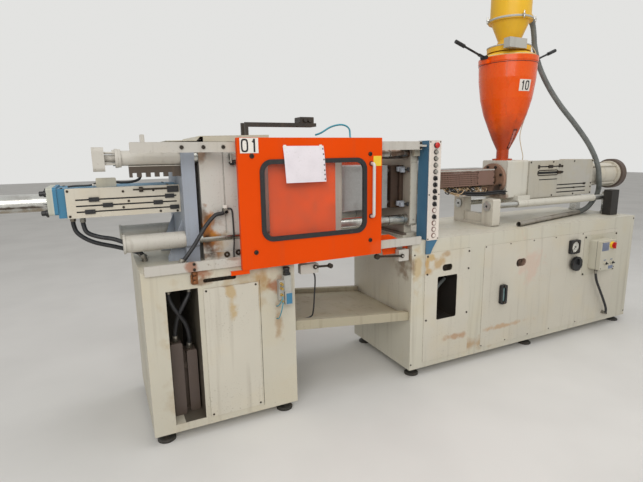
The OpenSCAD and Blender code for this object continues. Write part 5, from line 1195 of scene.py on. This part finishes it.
finished("gauge_glass", glass, plain("gauge glass", tone(240, 240, 240), 0.04, shade=0.98, bump=0.0,
                                     fixed={"Transmission Weight": 1.0, "IOR": 1.05}), "frame")

# %% [markdown]
# ## Sight glass and panel screws
# The oil level shows in a glass tube between two nuts. Doors and covers are
# held by small round heads. They are real meshes because they catch the light
# one by one, and a sheet with screws looks like a sheet that comes off.

# %% Sight glass and panel screws
sight_strip = bmesh.new()
block(sight_strip, (2528, 2552), (-17, -15.4), (442, 548))
finished("sight_tube", sight_strip, plain("sight tube", tone(120, 150, 150), 0.1, fixed={"Coat Weight": 0.6}),
         "frame", 1)
screws = bmesh.new()
for z in (431, 559):
    turned(screws, spot(2540, -27, z), front, [(0, 0), (9, 0), (9, 5), (7, 7), (0, 7)], 6)
front_screws(screws, -3, 5, 3, 12, [(x, z) for x in (2352, 2600, 2850, 3100, 3430) for z in (112, 880)])
front_screws(screws, -6, 8, 5, 14, ((3467, 846), (3872, 846), (3467, 530), (3872, 530)))
front_screws(screws, -3, 6, 3, 12, ((322, 846), (601, 846), (322, 114), (601, 114)))
front_screws(screws, 0, 6, 3, 12, ((1712, 888), (1700, 100), (4108, 960), (4108, 100)))
finished("panel_screws", screws, dark_bolt, "frame")

# %% [markdown]
# ## Isolator box
# The main switch is a red handle on a yellow collar. Under it are two toggles
# and some blue-grey plates. Handle and collar turn, so they ride on the
# isolator's body, while the rest stays on the frame.

# %% Isolator box
collar, knob_x, knob_z = bmesh.new(), 3660, 782
turned(collar, spot(knob_x, -108.3, knob_z), front, [(0, 0), (29, 0), (29, 12), (27, 15), (0, 15)], 40)
finished("isolator_collar", collar, yellow_plastic, "isolator")
switch = bmesh.new()
turned(switch, spot(knob_x, -123.4, knob_z), front, [(0, 0), (22, 0), (23, 2), (22, 5), (0, 5)], 40)
block(switch, (knob_x - 8, knob_x + 8), (-142, -127), (knob_z - 26, knob_z + 26))
knob = finished("isolator_handle", switch, red_plastic, "isolator", 2.5)
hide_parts("isolator_knob")
plates = bmesh.new()
for x, z in (((3537, 3624), (738, 808)), ((3640, 3700), (578, 606)),
             ((3572, 3602), (655, 663)), ((3658, 3688), (655, 663))):
    block(plates, x, (-108.8, -108), z)
finished("isolator_plates", plates, plain("bare blue-grey plate", tone(122, 132, 156), 0.45),
         "frame", 0.3)
toggles = bmesh.new()
for x in (3586, 3672):
    turned(toggles, spot(x, -124, 634), front,
           [(0, 0), (12, 0), (12, 2), (8, 4), (4.5, 5), (4.5, 12), (6, 15), (0, 16)], 20)
finished("isolator_toggles", toggles, black_plastic, "frame")
lid = bmesh.new()
for z in ((575, 578), (819, 822)):
    block(lid, (3523.4, 3724.6), (-74, -72), z)
for x in (3523.2, 3723.2):
    block(lid, (x, x + 1.6), (-74, -72), (575, 822))
front_screws(lid, -108, 4.5, 2, 12, [(x, z) for x in (3538, 3710) for z in (590, 808)])
turned(lid, spot(3573, -50, 575), -up, [(0, 0), (17, 0), (17, 8), (14, 10), (14, 22), (11, 26), (0, 26)], 6)
finished("isolator_lid_trim", lid, dark_bolt, "frame", 0.4)

# %% [markdown]
# ## Behind the window of the right bed
# Through the port one sees a dark cavity with upright slats and a pale hose
# that crosses it. A painted panel would do from the front, but real slats also
# look right when one walks past.

# %% Slats and hose in the port
slats = bmesh.new()
for x in range(1918, 2079, 20):
    block(slats, (x, x + 5), (200, 262), (384, 718))
finished("port_slats", slats, motor_paint, "frame", 1)
inside = bmesh.new()
cable(inside, [(1893, 170, 440), (1940, 150, 490), (1985, 140, 545), (2040, 138, 600), (2106, 150, 640)], 13, 14)
finished("port_hose", inside, hose_skin, "frame", sharp=80)

# %% [markdown]
# ## Saddle and rod ends
# The rods of the injection unit end in the saddle. Each end is a turned face
# with a groove ring, and a black disc in its middle is painted shade for the
# hollow of its socket. The flanges of the feed block and of the drive have
# their screws on a circle round the barrel's axis.

# %% Rod ends and flange screws
ends, socket_shade = bmesh.new(), bmesh.new()
for y in (227, 543):
    turned(ends, spot(2577, y, 1140), -right, [(33, 0), (33, 2), (38, 2), (39.5, 0.6), (41, 2), (45, 2), (45, 0)], 36)
    # A black disc on each rod end: painted shade for the hollow of its socket.
    turned(socket_shade, spot(2567, y, 1140), -right, [(0, 0), (9, 0), (9, 1.5), (6, 2), (0, 2)], 16)
finished("rod_end_rings", ends, feed_paint, "frame")
finished("rod_end_socket_shade", socket_shade, black_print_and_shade, "frame")
flange_bolts = bmesh.new()
for count, first, radius, x, along, sides, profile in (
        (8, 0.5, 108, 2767, -right, 18, [(0, 0), (11, 0), (11, 9), (9, 11), (6, 11), (5.6, 5), (0, 5)]),
        (6, 0.0, 112, 4352, right, 16, [(0, 0), (10, 0), (10, 8), (8, 10), (5, 10), (5, 5), (0, 5)])):
    for i in range(count):
        angle = 2 * math.pi * (i + first) / count
        place = spot(x, axis_y + radius * math.cos(angle), axis_z + radius * math.sin(angle))
        turned(flange_bolts, place, along, profile, sides)
finished("flange_bolts", flange_bolts, dark_bolt, "carriage")

# %% [markdown]
# ## Floor
# A pale floor is a large flat grid. It is wider than the view, so the machine
# stands as in a studio, and it is stage, so it is no part of the machine.

# %% Floor
floor_mesh, floor_half = bmesh.new(), 30
bmesh.ops.create_grid(floor_mesh, x_segments=4, y_segments=4, size=floor_half)
floor_data = bpy.data.meshes.new("studio floor")
floor_mesh.to_mesh(floor_data)
floor_mesh.free()
floor = bpy.data.objects.new("studio_floor", floor_data)
bpy.context.scene.collection.objects.link(floor)
floor_finish = Finish("studio floor", tone(226, 225, 222), 0.9)
floor_finish.over(tone(218, 217, 214), floor_finish.cloud(900, 3, 0.4, 0.7))
floor_data.materials.append(floor_finish.done())

# %% [markdown]
# ## Light
# An even sky, one large soft lamp from the front left and one from above. The
# camera and the reflections see a pale backdrop, and the surfaces get a dimmer,
# warmer sky. The lamps are tuned so that a colour comes out about as it was
# written; a brighter lamp would wash out the cream.

# %% Light
sky = bpy.data.worlds.new("studio sky")
bpy.context.scene.world = sky
sky.use_nodes = True
nodes, links = sky.node_tree.nodes, sky.node_tree.links
nodes.clear()
room_light, backdrop_light = 0.43, 0.95
rays = nodes.new("ShaderNodeLightPath")
seen, shiny = nodes.new("ShaderNodeMath"), nodes.new("ShaderNodeMath")
seen.operation = shiny.operation = "MAXIMUM"
links.new(rays.outputs["Is Camera Ray"], seen.inputs[0])
links.new(rays.outputs["Is Transmission Ray"], seen.inputs[1])
links.new(seen.outputs[0], shiny.inputs[0])
links.new(rays.outputs["Is Glossy Ray"], shiny.inputs[1])
room, backdrop = nodes.new("ShaderNodeBackground"), nodes.new("ShaderNodeBackground")
room.inputs[0].default_value, room.inputs[1].default_value = (1.0, 0.985, 0.96, 1), room_light
backdrop.inputs[0].default_value = (*tone(232, 232, 230), 1)
backdrop.inputs[1].default_value = backdrop_light
which = nodes.new("ShaderNodeMixShader")
out = nodes.new("ShaderNodeOutputWorld")
links.new(shiny.outputs[0], which.inputs[0])
links.new(room.outputs[0], which.inputs[1])
links.new(backdrop.outputs[0], which.inputs[2])
links.new(which.outputs[0], out.inputs[0])


def soft_lamp(name, place, aim, size, power, warmth):
    """A large lamp at a place, turned to what it aims at."""
    lamp = bpy.data.lights.new(name, "AREA")
    lamp.shape, lamp.energy, lamp.color = "RECTANGLE", power, warmth
    lamp.size, lamp.size_y = size
    holder = bpy.data.objects.new(name, lamp)
    holder.location = place
    holder.rotation_euler = (Vector(aim) - Vector(place)).to_track_quat("-Z", "Y").to_euler()
    bpy.context.scene.collection.objects.link(holder)
    print(name, power, "W")


soft_lamp("front lamp", (-3.5, -6.0, 4.5), (0, 0, 1.1), (6, 4), 262, (1.0, 0.98, 0.95))
soft_lamp("top lamp", (1.0, -0.5, 6.0), (0, 0, 1.0), (7, 3), 124, (1.0, 1.0, 1.0))

# %% [markdown]
# ## The size
# The dressed machine must fill the same box as its CAD model, or it would not
# fit its place.
